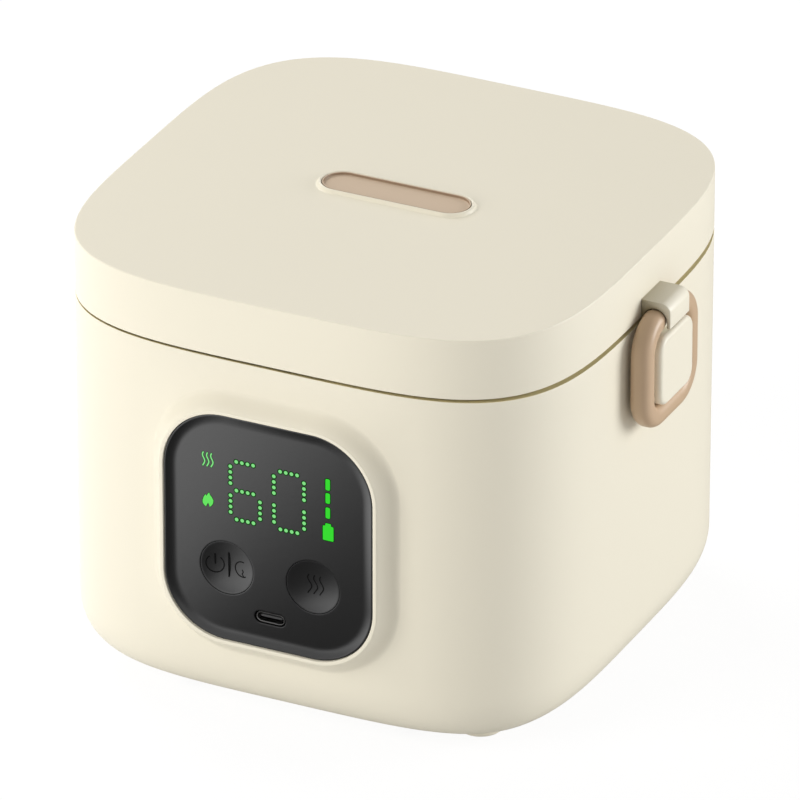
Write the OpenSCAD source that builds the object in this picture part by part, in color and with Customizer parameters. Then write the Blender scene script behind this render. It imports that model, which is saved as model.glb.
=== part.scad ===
// Electric lunch box: a squircle housing with a heated steel well, a lift-off lid,
// a removable food container, a front control panel and a hook-and-loop latch on each side.
// Origin: middle of the bounding box, on the table. +X right, +Y to the back, +Z up.

/* [Body] */
// Width of the housing, left to right
body_w = 160; // [150:1:175]
// Depth of the housing without the pod
body_d = 160; // [150:1:175]
// Exponent of the plan outline, higher is squarer
body_n = 4; // [3.5:0.25:4.5]
// Height of the outer shell, from underside to rim
tub_h = 113.4; // [110:0.1:125]
// Wall of the outer shell
shell_t = 2.5; // [2:0.1:2.8]
// Radius of the big edge round the bottom
bottom_r = 17; // [16:0.5:19]
// Radius of the shell's upper edge
rim_r = 0.4; // [0.4:0.1:1.2]
// Thickness of the base plate
base_t = 3; // [2.6:0.1:3.4]
// How far the base plate's edge lies inside the outline
base_inset = 14.5; // [13.5:0.1:15]

/* [Feet] */
// Height of a foot below the shell
foot_h = 3.3; // [1.5:0.1:4]
// Diameter of a foot
foot_d = 13.6; // [11:0.2:13.8]
// Distance between foot centres, along both axes
foot_span = 102.4; // [94:0.2:103]

/* [Lid] */
// Height of the lid
lid_h = 18.5; // [17:0.1:24]
// Wall of the lid
lid_t = 2.5; // [2:0.1:3]
// Radius of the lid's upper edge
lid_edge_r = 0.5; // [0.5:0.1:1.5]
// Seam between shell and lid
seam_gap = 0.4; // [0.3:0.05:0.6]
// Length of the badge on the lid
badge_l = 46; // [30:1:60]
// Width of the badge
badge_w = 12; // [8:0.5:16]
// Thickness of the badge
badge_t = 0.8; // [0.8:0.1:2]

/* [Pod and panel] */
// Width of the control panel
panel_w = 65.5; // [60:0.5:72]
// Height of the control panel
panel_h = 71.5; // [68:0.5:76]
// Corner radius of the control panel
panel_r = 19; // [16:0.5:22]
// Thickness of the control panel
panel_t = 3; // [3:0.1:3.8]
// Depth of the panel's coved face, from its edge to its floor
panel_dish = 1.0; // [0.8:0.05:1.2]
// Middle of the panel above the shell's underside
panel_mid = 61.8; // [60:0.1:66]
// How far the pod's lip stands out of the housing
pod_out = 4.6; // [4:0.1:6]
// Width of the lip round the panel
lip_w = 1.0; // [0.8:0.1:1.5]
// Width of the pod's soft flank
pod_flare = 6.5; // [5:0.1:8]

/* [Keys and port] */
// Diameter of a key
key_d = 16.4; // [14:0.1:18]
// Distance between the key centres
key_span = 27.2; // [24:0.1:30]
// Keys above the shell's underside
key_z = 48.6; // [47:0.05:52]
// Travel of a key
key_travel = 0.4; // [0.2:0.05:0.5]
// Depth of the dish in a key
dish_depth = 1.3; // [0.6:0.1:1.6]
// Charging port above the shell's underside
port_z = 35.3; // [34.5:0.1:37.5]

/* [Display] */
// Diameter of a dot of light
dot_d = 1.2; // [0.8:0.1:1.4]
// Pitch of the dots in a stroke
dot_pitch = 1.77; // [1.6:0.01:1.9]
// Width of a digit, between its columns of dots
digit_w = 9.3; // [8:0.1:10]
// Height of a digit, between its outer rows of dots
digit_h = 18.4; // [17:0.1:19]
// Distance between the two digits
digit_pitch = 13.65; // [12.5:0.05:14.5]
// Middle of the display above the shell's underside
display_z = 74.1; // [73:0.1:77]

/* [Latches] */
// Width of the loop
ring_w = 36.2; // [32:0.1:38]
// Height of the loop
ring_h = 36; // [33:0.1:38]
// Outer corner radius of the loop
ring_r = 11.5; // [10:0.1:13]
// Thickness of the loop's bar, seen from the side
bar_w = 6.4; // [6:0.1:7]
// Depth of the loop's bar, out from the wall
bar_d = 6.4; // [6:0.1:7]
// Rounding of the bar
bar_r = 2.6; // [2:0.1:2.9]
// Room between the wall and the loop
ring_gap = 1.2; // [1.2:0.1:2]
// Middle of the loop below the shell's rim
ring_drop = 14.5; // [14:0.1:16]
// Width of the hook
hook_w = 13.2; // [12:0.1:14]
// Thickness of the hook's top
hook_t = 2.25; // [1.6:0.05:3]
// Thickness of the hook's flap
flap_t = 1.15; // [1:0.05:2]
// How far the flap reaches below the loop's axis
flap_drop = 1.9; // [1:0.1:2.5]
// How far the pad stands out from the wall
pad_out = 8.66; // [7:0.02:9]
// Room between the pad and the loop
pad_gap = 0.6; // [0.5:0.05:1]
// Radius of the loop's hinge neck
pin_r = 1.6; // [1.3:0.05:1.8]
// Radial clearance of the hinge neck in its knuckle
pin_fit = 0.05; // [0.02:0.01:0.1]

/* [Well and food container] */
// How far the liner's wall lies inside the outline
liner_inset = 11.2; // [10.8:0.1:12]
// Thickness of the liner's sheet
liner_t = 0.6; // [0.5:0.05:0.8]
// Height of the well's floor above the shell's underside
well_z = 31.5; // [31:0.1:36]
// Gap between the liner and the food container
pot_gap = 0.8; // [0.6:0.05:1.2]
// Thickness of the food container's sheet
pot_t = 0.6; // [0.5:0.05:0.8]
// Radius of the food container's bottom edge
pot_r = 8; // [6:0.5:9]
// Thickness of the food container's rim
pot_rim_t = 1; // [0.8:0.1:1.1]
// Depth of the deck below the shell's rim
deck_drop = 2.5; // [2.4:0.05:2.8]
// Thickness of the ring that carries the liner
deck_t = 4; // [3:0.1:4.4]
// Thickness of the foam sleeve
foam_t = 3.8; // [3:0.1:4]

/* [Power] */
// Diameter of a battery cell
cell_d = 18.4; // [18:0.05:18.6]
// Length of a battery cell
cell_l = 65.2; // [64:0.1:66]
// Pitch of the battery cells
cell_pitch = 19.1; // [19:0.05:19.4]
// Middle of the battery pack, along X
pack_x = -17.2; // [-18:0.1:-16.8]
// Thickness of the circuit boards
board_t = 1.6; // [1.2:0.1:1.6]
// Width of the power board
power_w = 36; // [34:0.5:37]
// Length of the power board
power_l = 93; // [88:0.5:94]
// Middle of the power board, along X
power_x = 42; // [41.5:0.1:42.5]

/* [Hidden] */

$fn = 48;
sides = 64;              // points of the plan outline
clear = 0.3;             // room between pieces of different bodies
fit = 0.2;               // room between pieces that are assembled once
eps = 0.5;               // how far a cut runs past a face

cream = [0.92, 0.89, 0.81];
tan_brown = [0.72, 0.60, 0.47];
black = [0.16, 0.16, 0.17];
steel = [0.75, 0.76, 0.77];
board_green = [0.10, 0.35, 0.20];

// heights
shell_z = foot_h;
rim_z = shell_z + tub_h;
lid_z = rim_z + seam_gap;
lid_top = lid_z + lid_h;
flange_t = 2.3;
flange_in = 20;
flange_z = shell_z + base_t;
deck_z = rim_z - deck_drop;
pot_rim_z = deck_z + liner_t + clear;
floor_z = shell_z + well_z;
pot_floor_z = floor_z + liner_t + clear;
pot_inset = liner_inset + liner_t + pot_gap;
deck_edge = 4;           // inset of the liner's flange
pot_edge = 6;            // inset of the food container's rim

// front: everything is stacked back from the body's front plane
front_y = -body_d / 2;
lip_y = front_y - pod_out;
panel_sunk = 0.5;        // the panel's edge lies behind the lip
panel_y = lip_y + panel_sunk;
window_y = panel_y + panel_dish;
panel_back = panel_y + panel_t;
panel_z = shell_z + panel_mid;
panel_edge = 0.4;        // flat edge round the panel's cove
panel_cove = 3.2;        // width of the cove
panel_room = 0.25;       // gap round the panel
ledge_w = 2.5;           // ledge behind the panel's edge
board_gap = 0.6;
board_y = front_y + shell_t + board_gap;
shift_y = pod_out / 2;

// keys and port
key_r = key_d / 2;
key_flange_r = key_r + 1;
key_flange_t = 1;
key_face = window_y + 0.2;
switch_w = 5.2;
switch_h = 1.4;
plunger_r = 1.2;
plunger_h = 0.4;
switch_face = board_y - switch_h - plunger_h;
port_w = 8.94;
port_h = 3.26;
port_room = 0.35;

// display
window_skin = 0.9;
film_t = 0.2;
film_y = window_y + window_skin;
led_h = 0.8;
guide_w = 45;
guide_h = digit_h + 5;
disp_z = shell_z + display_z;
segment_l = 3 * dot_pitch + dot_d + 0.8;
segment_w = dot_d + 0.7;
bar_x = 19;
icon_x = -18.4;

// latches, right side; the left side is mirrored
wall_x = body_w / 2;
pivot_x = wall_x + ring_gap + bar_d / 2;
ring_z = rim_z - ring_drop;
pivot_z = ring_z + ring_h / 2 - bar_w / 2;
neck_r = min(bar_w, bar_d) / 2 - 0.1;
hook_gap = 0.5;
hook_z = pivot_z + neck_r + hook_gap;
flap_x = pivot_x + neck_r + hook_gap;
knuckle_r = 2.9;
knuckle_w = hook_w - 2.4;
pad_w = ring_w - 2 * bar_w - 2 * pad_gap;
pad_h = ring_h - 2 * bar_w - 2 * pad_gap;
pad_r = ring_r - bar_w - 0.3;
pad_edge = 1.4;
latch_screw_dz = 5;

// screws
screw_r = 1.4;
head_r = 2.7;
boss_r = 3.8;
boss_small_r = 2.6;
head_h = 1.3;
slot_l = 3;
slot_w = 0.6;
slot_h = 0.7;
hole_r = screw_r + 0.2;
pilot_r = screw_r + 0.05;
base_bite = 7;           // how far each kind of screw goes into its boss
lid_bite = 8;
board_bite = 4;
panel_bite = 3.4;
latch_bite = 5;
base_screw_at = 18.5;    // inset of the base screws from front and back
base_screw_x = 34;       // their distance from the middle plane
lid_screw_at = 48;       // the lid screws stand on the corners of a square of twice this
board_screw_in_x = 13.75; // inset of the board screws from the panel's sides
board_screw_in_z = 7.15;  // and from its top and bottom
board_screw_dx = panel_w / 2 - board_screw_in_x;
board_screw_dz = panel_h / 2 - board_screw_in_z;

// lid inside
lid_plate_up = 1.8;
lid_plate_z = lid_z + lid_plate_up;
lid_plate_t = 2;
lid_plate_inset = lid_t + 0.5;
gasket_in = 6.5;
gasket_w = 3;

// power
foot_sink = 0.8;         // the foot's seat in the base plate
cell_r = cell_d / 2;
tray_floor = 1.8;
tray_z = flange_z + flange_t + fit; // over the shell's flange, on two rails
rail_l = 60;
rail_w = 3;
rail_in = 8;
cell_z = tray_z + tray_floor + fit + cell_r;
tray_w = 4 * cell_pitch + 3;
tray_l = cell_l + 7;
strip_t = 0.25;
standoff_h = 6.5;
power_z = flange_z + standoff_h;
power_top = power_z + board_t;
standoff_r = 3;
standoff_in = 4;         // from the board's inner edge, its outer edge and its ends
standoff_out = 12;
standoff_end = 8;
plate_inset = 24;
plate_t = 2;
film_inset = 27;
heater_z = floor_z - plate_t;
film_heat_t = 0.4;
pad_t = 2;
fuse_r = 8;
fuse_h = 7;
fuse_x = power_x - 4;
plug_x = power_x + 2;
plug_w = 8;
plug_h = 6;
lead_r = 1.1;
lead_dy = 11;
grid = 1;                // placing grid of the parts on the power board
coil_r = 8;
coil_w = 5;
coil_h = 7;
can_r = 4;
can_h = 9;
chip_h = 1.6;
ribbon_t = 0.4;
ribbon_w = 4.4;
ribbon_x = power_x - power_w / 2 + 0.2;

// ---------- outlines and lofts ----------

// point of the plan superellipse with half sizes a and b
function squircle_point(a, b, t) = [
    a * sign(cos(t)) * pow(abs(cos(t)), 2 / body_n),
    b * sign(sin(t)) * pow(abs(sin(t)), 2 / body_n)];

// outward unit normal of the plan superellipse at p
function squircle_normal(a, b, p) =
    let (v = [sign(p[0]) * pow(abs(p[0]) / a, body_n - 1) / a,
              sign(p[1]) * pow(abs(p[1]) / b, body_n - 1) / b])
    v / norm(v);

// plan outline of the body, moved inwards along its normals
function outline(inset) = [for (i = [0:sides - 1])
    let (p = squircle_point(body_w / 2, body_d / 2, 360 * i / sides))
    p - inset * squircle_normal(body_w / 2, body_d / 2, p)];

// smaller squircle for plates far inside the body
function squircle(inset) = [for (i = [0:sides - 1])
    squircle_point(body_w / 2 - inset, body_d / 2 - inset, 360 * i / sides)];

// the outline as a level ring of a loft
function level(inset, z) = [for (p = outline(inset)) [p[0], p[1], z]];

// rounded rectangle, counter-clockwise, k steps a corner
function round_rect(w, h, r, k = 6) = [for (q = [0:3], i = [0:k])
    let (a = 90 * q + 90 * i / k,
         sx = (q == 0 || q == 3) ? 1 : -1,
         sy = q < 2 ? 1 : -1)
    [sx * (w / 2 - r) + r * cos(a), sy * (h / 2 - r) + r * sin(a)]];

// points of an arc in (inset, z): centre c, radius r, from angle a0 to a1
function arc(c, r, a0, a1, k) = [for (i = [0:k])
    let (a = a0 + (a1 - a0) * i / k) [c[0] - r * cos(a), c[1] - r * sin(a)]];

// side faces between ring i and the next one of n rings with m points
function skin(n, m, last) = [for (i = [0:last], j = [0:m - 1])
    let (a = i * m + j, b = i * m + (j + 1) % m,
         d = ((i + 1) % n) * m + j, c = ((i + 1) % n) * m + (j + 1) % m)
    each [[a, d, c], [a, c, b]]];

// solid through a list of rings, closed by its first and last ring
module loft(rings) {
    n = len(rings);
    m = len(rings[0]);
    polyhedron(
        points = [for (r = rings) each r],
        faces = concat(skin(n, m, n - 2),
            [[for (j = [0:m - 1]) j]],
            [[for (j = [m - 1:-1:0]) (n - 1) * m + j]]));
}

// ring-shaped solid, whose last ring joins the first
module loft_loop(rings) {
    n = len(rings);
    m = len(rings[0]);
    polyhedron(points = [for (r = rings) each r], faces = skin(n, m, n - 1));
}

// level rings from a list of [inset, z]
function levels(profile) = [for (p = profile) level(p[0], p[1])];

// ---------- small shapes ----------

// exact rounded rectangle in 2D
module round_slab(w, h, r) {
    square([w - 2 * r, h], center = true);
    square([w, h - 2 * r], center = true);
    for (x = [-1, 1], y = [-1, 1])
        translate([x * (w / 2 - r), y * (h / 2 - r)]) circle(r);
}

// exact pill in 2D
module pill(l, w) {
    square([l - w, w], center = true);
    for (x = [-1, 1])
        translate([x * (l - w) / 2, 0]) circle(w / 2);
}

// prism on the front, from plane y0 back to y1, about height z
module front_prism(y0, y1, z) {
    translate([0, y1, z]) rotate([90, 0, 0]) linear_extrude(y1 - y0) children();
}

// cylinder along Y, from y0 back to y1
module front_rod(r, y0, y1) {
    translate([0, y1, 0]) rotate([90, 0, 0]) cylinder(r = r, h = y1 - y0);
}

// plate of the body's outline between two heights
module plate(inset, z0, z1) {
    translate([0, 0, z0]) linear_extrude(z1 - z0) polygon(outline(inset));
}

// ring of the body's outline between two insets and two heights
module band(inset0, inset1, z0, z1) {
    translate([0, 0, z0]) linear_extrude(z1 - z0) difference() {
        polygon(outline(inset0));
        polygon(outline(inset1));
    }
}

// cross-recessed screw, its head's face at z = 0 and its shank up +Z
module screw(length) {
    difference() {
        union() {
            cylinder(r = head_r, h = head_h);
            translate([0, 0, head_h]) cylinder(r = screw_r, h = length - head_h);
        }
        for (a = [0, 90])
            rotate([0, 0, a]) translate([-slot_l / 2, -slot_w / 2, -eps]) cube([slot_l, slot_w, eps + slot_h]);
    }
}

// the body's axis lies behind the origin by half of what the front stands out
module on_axis() {
    translate([0, shift_y, 0]) children();
}

// both sides: the right one and its mirror image
module both_sides() {
    children();
    mirror([1, 0, 0]) children();
}

// right side or, for the left, its mirror image
module on_side(right) {
    mirror([right ? 0 : 1, 0, 0]) children();
}

module at_base_screws() {
    for (x = [-1, 1], y = [-1, 1])
        translate([x * base_screw_x, y * (body_d / 2 - base_screw_at), 0]) children();
}

module at_feet() {
    for (x = [-1, 1], y = [-1, 1])
        translate([x * foot_span / 2, y * foot_span / 2, 0]) children();
}

// round seats of the feet, cut into whatever lies over them
module foot_seats() {
    at_feet() translate([0, 0, shell_z - eps]) cylinder(d = foot_d + fit, h = foot_sink + eps);
}

module at_lid_screws() {
    for (x = [-1, 1], y = [-1, 1])
        translate([x * lid_screw_at, y * lid_screw_at, 0]) children();
}

module at_board_screws() {
    for (x = [-1, 1], z = [-1, 1])
        translate([x * board_screw_dx, 0, panel_z + z * board_screw_dz]) children();
}

module at_standoffs() {
    for (x = [standoff_in - power_w / 2, power_w / 2 - standoff_out], y = [-1, 1])
        translate([power_x + x, y * (power_l / 2 - standoff_end), 0]) children();
}

module at_keys() {
    for (x = [-1, 1])
        translate([x * key_span / 2, 0, shell_z + key_z]) children();
}

module at_latch_screws() {
    for (z = [-1, 1])
        translate([wall_x, 0, ring_z + z * latch_screw_dz]) rotate([0, 90, 0]) children();
}

// ---------- housing ----------

module pod() {
    steps = 8;
    depth = pod_out + 1.2;
    rings = [for (i = [0:steps])
        let (t = 1 - i / steps,
             o = lip_w + pod_flare * t,
             y = lip_y + depth * (1 - cos(180 * t)) / 2)
        [for (p = round_rect(panel_w + 2 * o, panel_h + 2 * o, panel_r + o)) [p[0], y, panel_z + p[1]]]];
    back = [for (p = rings[0]) [p[0], front_y + 2.2, p[2]]];
    loft(concat([back], rings));
}

module outer_shell() {
    inner_r = bottom_r - shell_t;
    centre = [bottom_r, shell_z + bottom_r];
    a_out = acos(1 - base_inset / bottom_r);
    a_in = asin((bottom_r - base_t - flange_t) / inner_r);
    profile = concat(
        arc(centre, bottom_r, a_out, 0, 8),
        arc([rim_r, rim_z - rim_r], rim_r, 0, -90, 3),
        [[shell_t, rim_z]],
        arc(centre, inner_r, 0, a_in, 5),
        [[flange_in, flange_z + flange_t], [flange_in, flange_z], [base_inset, flange_z]]);
    color(cream) on_axis() difference() {
        union() {
            loft_loop(levels(profile));
            pod();
            at_base_screws() translate([0, 0, flange_z + eps]) cylinder(r = boss_r, h = base_bite + 2);
        }
        front_prism(panel_y - 5, panel_back, panel_z)
            round_slab(panel_w + 2 * panel_room, panel_h + 2 * panel_room, panel_r + panel_room);
        front_prism(panel_y - 5, front_y + 8, panel_z)
            round_slab(panel_w - 2 * ledge_w, panel_h - 2 * ledge_w, panel_r - ledge_w);
        at_base_screws() translate([0, 0, flange_z - 1]) cylinder(r = pilot_r, h = base_bite + 1);
        both_sides() at_latch_screws() translate([0, 0, -shell_t - 2]) cylinder(r = hole_r, h = shell_t + 5.5);
        foot_seats();
    }
}

module base_plate() {
    color(cream) on_axis() difference() {
        union() {
            plate(base_inset + clear, shell_z, flange_z);
            at_standoffs() translate([0, 0, flange_z - eps])
                cylinder(r = standoff_r, h = power_z - flange_z + eps);
            for (y = [-1, 1])
                translate([pack_x - rail_l / 2, y * (tray_l / 2 - rail_in) - rail_w / 2, flange_z - eps])
                    cube([rail_l, rail_w, tray_z - flange_z + eps]);
        }
        at_base_screws() {
            translate([0, 0, shell_z - eps]) cylinder(r = hole_r, h = base_t + 2 * eps);
            translate([0, 0, shell_z - eps]) cylinder(r = head_r + fit, h = head_h + eps);
        }
        foot_seats();
        at_standoffs() translate([0, 0, power_z - board_bite - 1]) cylinder(r = pilot_r, h = board_bite + 2);
    }
}

module foot(x, y) {
    r = foot_d / 2;
    bevel = 0.6;
    color(cream) on_axis() translate([x * foot_span / 2, y * foot_span / 2, 0])
        rotate_extrude()
            polygon([[0, 0], [r - bevel, 0], [r, bevel], [r, foot_h + foot_sink], [0, foot_h + foot_sink]]);
}

module base_screws() {
    color(steel) on_axis() at_base_screws() translate([0, 0, shell_z]) screw(base_t + base_bite);
}

module top_ring() {
    color(cream) on_axis() band(shell_t + fit, liner_inset - fit, deck_z - deck_t, deck_z);
}

module inner_liner() {
    r = pot_r + liner_t + pot_gap;
    z0 = floor_z;
    wall_in = liner_inset + liner_t;
    profile = concat(
        arc([liner_inset + r, z0 + r], r, 90, 0, 5),
        [[liner_inset, deck_z], [deck_edge, deck_z], [deck_edge, deck_z + liner_t],
         [wall_in, deck_z + liner_t]],
        arc([liner_inset + r, z0 + r], r - liner_t, 0, 90, 5));
    color(steel) on_axis() loft(levels(profile));
}

module insulation_sleeve() {
    color([0.85, 0.85, 0.82]) on_axis()
        band(liner_inset - fit - foam_t, liner_inset - fit, floor_z + 3, deck_z - deck_t - 1);
}

module heating_plate() {
    color([0.8, 0.8, 0.82]) on_axis()
        translate([0, 0, heater_z]) linear_extrude(floor_z - heater_z) polygon(squircle(plate_inset));
}

module heater_film() {
    color([0.75, 0.45, 0.15]) on_axis()
        translate([0, 0, heater_z - film_heat_t]) linear_extrude(film_heat_t) polygon(squircle(film_inset));
}

module insulation_pad() {
    color([0.88, 0.86, 0.8]) on_axis() difference() {
        translate([0, 0, heater_z - film_heat_t - pad_t]) linear_extrude(pad_t) polygon(squircle(plate_inset));
        translate([fuse_x, 0, heater_z - 10]) cylinder(r = fuse_r + 1, h = 12);
        for (s = [-1, 1])
            translate([plug_x, s * lead_dy, heater_z - 10]) cylinder(r = lead_r + 0.5, h = 12);
    }
}

module thermal_fuse() {
    color([0.2, 0.2, 0.22]) on_axis() translate([fuse_x, 0, heater_z - film_heat_t - fuse_h]) {
        cylinder(r = fuse_r, h = fuse_h);
        for (s = [-1, 1])
            translate([-1, s * (fuse_r - 3) - 0.4, -1.5]) cube([2, 0.8, 2]);
    }
}

module heater_leads() {
    z0 = power_top + plug_h;
    color([0.8, 0.1, 0.1]) on_axis()
        for (s = [-1, 1])
            translate([plug_x, s * lead_dy, z0]) cylinder(r = lead_r, h = heater_z - film_heat_t - z0);
}

module battery_holder() {
    wall = 1.5;
    color([0.2, 0.22, 0.25]) on_axis() difference() {
        translate([pack_x - tray_w / 2, -tray_l / 2, tray_z])
            cube([tray_w, tray_l, cell_z - tray_z - 2]);
        for (i = [0:3])
            translate([pack_x + (i - 1.5) * cell_pitch, tray_l / 2 - wall, cell_z])
                rotate([90, 0, 0]) cylinder(r = cell_r + fit, h = tray_l - 2 * wall);
    }
}

module cell(i) {
    cap = 0.6;
    color([0.25, 0.5, 0.8]) on_axis()
        translate([pack_x + (i - 2.5) * cell_pitch, cell_l / 2, cell_z]) rotate([90, 0, 0]) {
            cylinder(r = cell_r - 0.15, h = cell_l);
            translate([0, 0, cap]) cylinder(r = cell_r, h = cell_l - 2 * cap);
        }
}

module nickel_strips() {
    w = 6;
    z0 = cell_z - 1.5;
    color(steel) on_axis() {
        for (i = [-1, 1])
            translate([pack_x + i * cell_pitch - (cell_pitch + w) / 2, cell_l / 2, z0])
                cube([cell_pitch + w, strip_t, w]);
        translate([pack_x - (cell_pitch + w) / 2, -cell_l / 2 - strip_t, z0])
            cube([cell_pitch + w, strip_t, w]);
        for (i = [-1.5, 1.5])
            translate([pack_x + i * cell_pitch - w / 2, -cell_l / 2 - strip_t, z0])
                cube([w, strip_t, w + 3]);
    }
}

module power_board() {
    color(board_green) on_axis() difference() {
        translate([power_x - power_w / 2, -power_l / 2, power_z]) cube([power_w, power_l, board_t]);
        at_standoffs() translate([0, 0, power_z - eps]) cylinder(r = hole_r, h = board_t + 2 * eps);
    }
}

module power_inductor() {
    color([0.7, 0.4, 0.15]) on_axis() translate([power_x - 4 * grid, 24 * grid, power_top])
        rotate_extrude() translate([coil_r - coil_w, 0]) square([coil_w, coil_h]);
}

module power_capacitors() {
    color([0.15, 0.15, 0.2]) on_axis()
        for (p = [[-11, -21], [-1, -21], [-11, -31]])
            translate([power_x + p[0] * grid, p[1] * grid, power_top]) cylinder(r = can_r, h = can_h);
}

module power_chips() {
    color([0.1, 0.1, 0.1]) on_axis() {
        translate([plug_x - plug_w / 2, -lead_dy - plug_w / 2, power_top])
            cube([plug_w, 2 * lead_dy + plug_w, plug_h]);
        for (p = [[-12, -2, 8, 8], [-12, 8, 5, 6], [3, -34, 7, 10], [6, 20, 9, 5]])
            translate([power_x + p[0] * grid, p[1] * grid, power_top])
                cube([p[2] * grid, p[3] * grid, chip_h]);
    }
}

module power_board_screws() {
    color(steel) on_axis() at_standoffs()
        translate([0, 0, power_top + head_h]) mirror([0, 0, 1]) screw(head_h + board_t + board_bite);
}

// ---------- front ----------

module control_panel() {
    steps = 5;
    cove = [for (i = [-1:steps])
        let (t = max(i, 0) / steps,
             o = panel_edge + panel_cove * t,
             y = i < 0 ? panel_y - 1 : panel_y + panel_dish * (1 - pow(1 - t, 2)))
        [for (p = round_rect(panel_w - 2 * o, panel_h - 2 * o, panel_r - o, 8)) [p[0], y, panel_z + p[1]]]];
    color(black) on_axis() difference() {
        union() {
            difference() {
                front_prism(panel_y, panel_back, panel_z) round_slab(panel_w, panel_h, panel_r);
                loft([for (i = [steps + 1:-1:0]) cove[i]]);
            }
            at_board_screws() front_rod(boss_small_r, panel_back - eps, board_y);
        }
        at_keys() front_rod(key_r + clear, panel_y - 2, panel_back + 2);
        front_prism(panel_y - 2, panel_back + 2, shell_z + port_z)
            pill(port_w + 2 * port_room + 0.3, port_h + 2 * port_room);
        front_prism(film_y, panel_back + 2, disp_z) square([guide_w + 1, guide_h + 1], center = true);
        at_board_screws() front_rod(pilot_r, board_y - panel_bite - 0.6, board_y + 1);
    }
}

module display_film() {
    color([0.1, 0.1, 0.1]) on_axis()
        front_prism(film_y, film_y + film_t, disp_z) square([guide_w, guide_h], center = true);
}

// the places of the lit strokes: [x, z, width, height]
function strokes() = [
    for (d = [0, 1], s = [[0, 1, 0], [0, 0, 0], [0, -1, 0], [-1, 0.5, 1], [1, 0.5, 1], [-1, -0.5, 1],
                          [1, -0.5, 1]])
        [(d - 0.5) * digit_pitch + s[0] * digit_w / 2 + 0.2, s[1] * digit_h / 2,
         s[2] == 1 ? segment_w : segment_l, s[2] == 1 ? segment_l : segment_w],
    for (i = [0:2]) [bar_x, 8.3 - 4.45 * i, 2.2, 4],
    [bar_x, -7.2, 4.4, 6.2], [icon_x, 8, 4.6, 5.2], [icon_x, -4.8, 4.6, 5.2]];

module light_guide() {
    color([0.12, 0.12, 0.12]) on_axis() difference() {
        front_prism(film_y + film_t, board_y - led_h - fit, disp_z)
            square([guide_w, guide_h], center = true);
        for (s = strokes())
            front_prism(film_y, board_y, disp_z)
                translate([s[0], s[1]]) square([s[2], s[3]], center = true);
    }
}

module display_leds() {
    color([0.3, 0.9, 0.35]) on_axis()
        for (s = strokes())
            front_prism(board_y - led_h, board_y, disp_z)
                translate([s[0], s[1]]) square([min(s[2], 2), min(s[3], 2)], center = true);
}

module display_board() {
    color(board_green) on_axis() difference() {
        front_prism(board_y, board_y + board_t, panel_z)
            round_slab(panel_w - 7.5, panel_h - 5.5, panel_r - 3);
        at_board_screws() front_rod(hole_r, board_y - 1, board_y + board_t + 1);
        front_prism(board_y - 1, board_y + board_t + 1, shell_z + port_z) pill(port_w, port_h);
    }
}

module display_board_screws() {
    color(steel) on_axis() at_board_screws()
        translate([0, board_y + board_t + head_h, 0]) rotate([90, 0, 0]) screw(head_h + board_t + panel_bite);
}

module tact_switches() {
    color([0.2, 0.2, 0.2]) on_axis() at_keys() {
        translate([-switch_w / 2, board_y - switch_h, -switch_w / 2]) cube([switch_w, switch_h, switch_w]);
        front_rod(plunger_r, switch_face, board_y - switch_h + 0.1);
    }
}

module usb_c_receptacle() {
    wall = 0.3;
    mouth = window_y + 0.3;
    deep = board_y + board_t;
    color(steel) on_axis() {
        difference() {
            front_prism(mouth, deep, shell_z + port_z) pill(port_w, port_h);
            front_prism(mouth - 1, deep - 1, shell_z + port_z)
                pill(port_w - 2 * wall, port_h - 2 * wall);
        }
        front_prism(mouth + 0.8, deep - 0.9, shell_z + port_z) square([6.7, 0.7], center = true);
    }
}

module ribbon_cable() {
    y0 = board_y + board_t;
    y1 = -power_l / 2 + 1;
    color([0.9, 0.6, 0.2]) on_axis() {
        translate([ribbon_x, y0, power_top]) cube([ribbon_w, ribbon_t, shell_z + port_z - power_top + 8]);
        translate([ribbon_x, y0, power_top]) cube([ribbon_w, y1 - y0, ribbon_t]);
    }
}

// cap with a spherical dish, a flange behind the panel and a post over its switch
module key(side) {
    dish_r = (pow(key_r - 0.4, 2) + pow(dish_depth, 2)) / (2 * dish_depth);
    flange_y = panel_back + clear;
    color([0.13, 0.13, 0.14]) on_axis() translate([side * key_span / 2, 0, shell_z + key_z])
        difference() {
            union() {
                front_rod(key_r, key_face, flange_y + eps);
                front_rod(key_flange_r, flange_y, flange_y + key_flange_t);
                front_rod(2, flange_y, switch_face - key_travel - fit);
            }
            translate([0, key_face + dish_depth - dish_r, 0]) rotate([90, 0, 0]) sphere(dish_r, $fn = 96);
        }
}

// ---------- latches ----------

// cream pad inside the loop, with the knuckle that carries the loop's neck
module latch_mount(right) {
    steps = 4;
    rings = [for (i = [-1:steps])
        let (a = max(i, 0) * 90 / steps,
             o = pad_edge * (1 - cos(a)),
             x = i < 0 ? wall_x : wall_x + pad_out - pad_edge * (1 - sin(a)))
        [for (p = round_rect(pad_w - 2 * o, pad_h - 2 * o, pad_r - o)) [x, p[0], ring_z + p[1]]]];
    color(cream) on_axis() on_side(right) difference() {
        union() {
            loft(rings);
            translate([pivot_x - knuckle_r + 0.2, -knuckle_w / 2, ring_z + pad_h / 2 - 2])
                cube([knuckle_r + 1, knuckle_w, pivot_z - ring_z - pad_h / 2 + 2]);
            translate([pivot_x, knuckle_w / 2, pivot_z]) rotate([90, 0, 0])
                cylinder(r = knuckle_r, h = knuckle_w);
        }
        translate([pivot_x, knuckle_w / 2 + 1, pivot_z]) rotate([90, 0, 0])
            cylinder(r = pin_r + pin_fit, h = knuckle_w + 2);
        at_latch_screws() translate([0, 0, -1]) cylinder(r = pilot_r, h = latch_bite + 2);
    }
}

module latch_screws() {
    color(steel) on_axis() both_sides() at_latch_screws()
        translate([0, 0, -shell_t - head_h - 0.1]) screw(head_h + shell_t + latch_bite);
}

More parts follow.
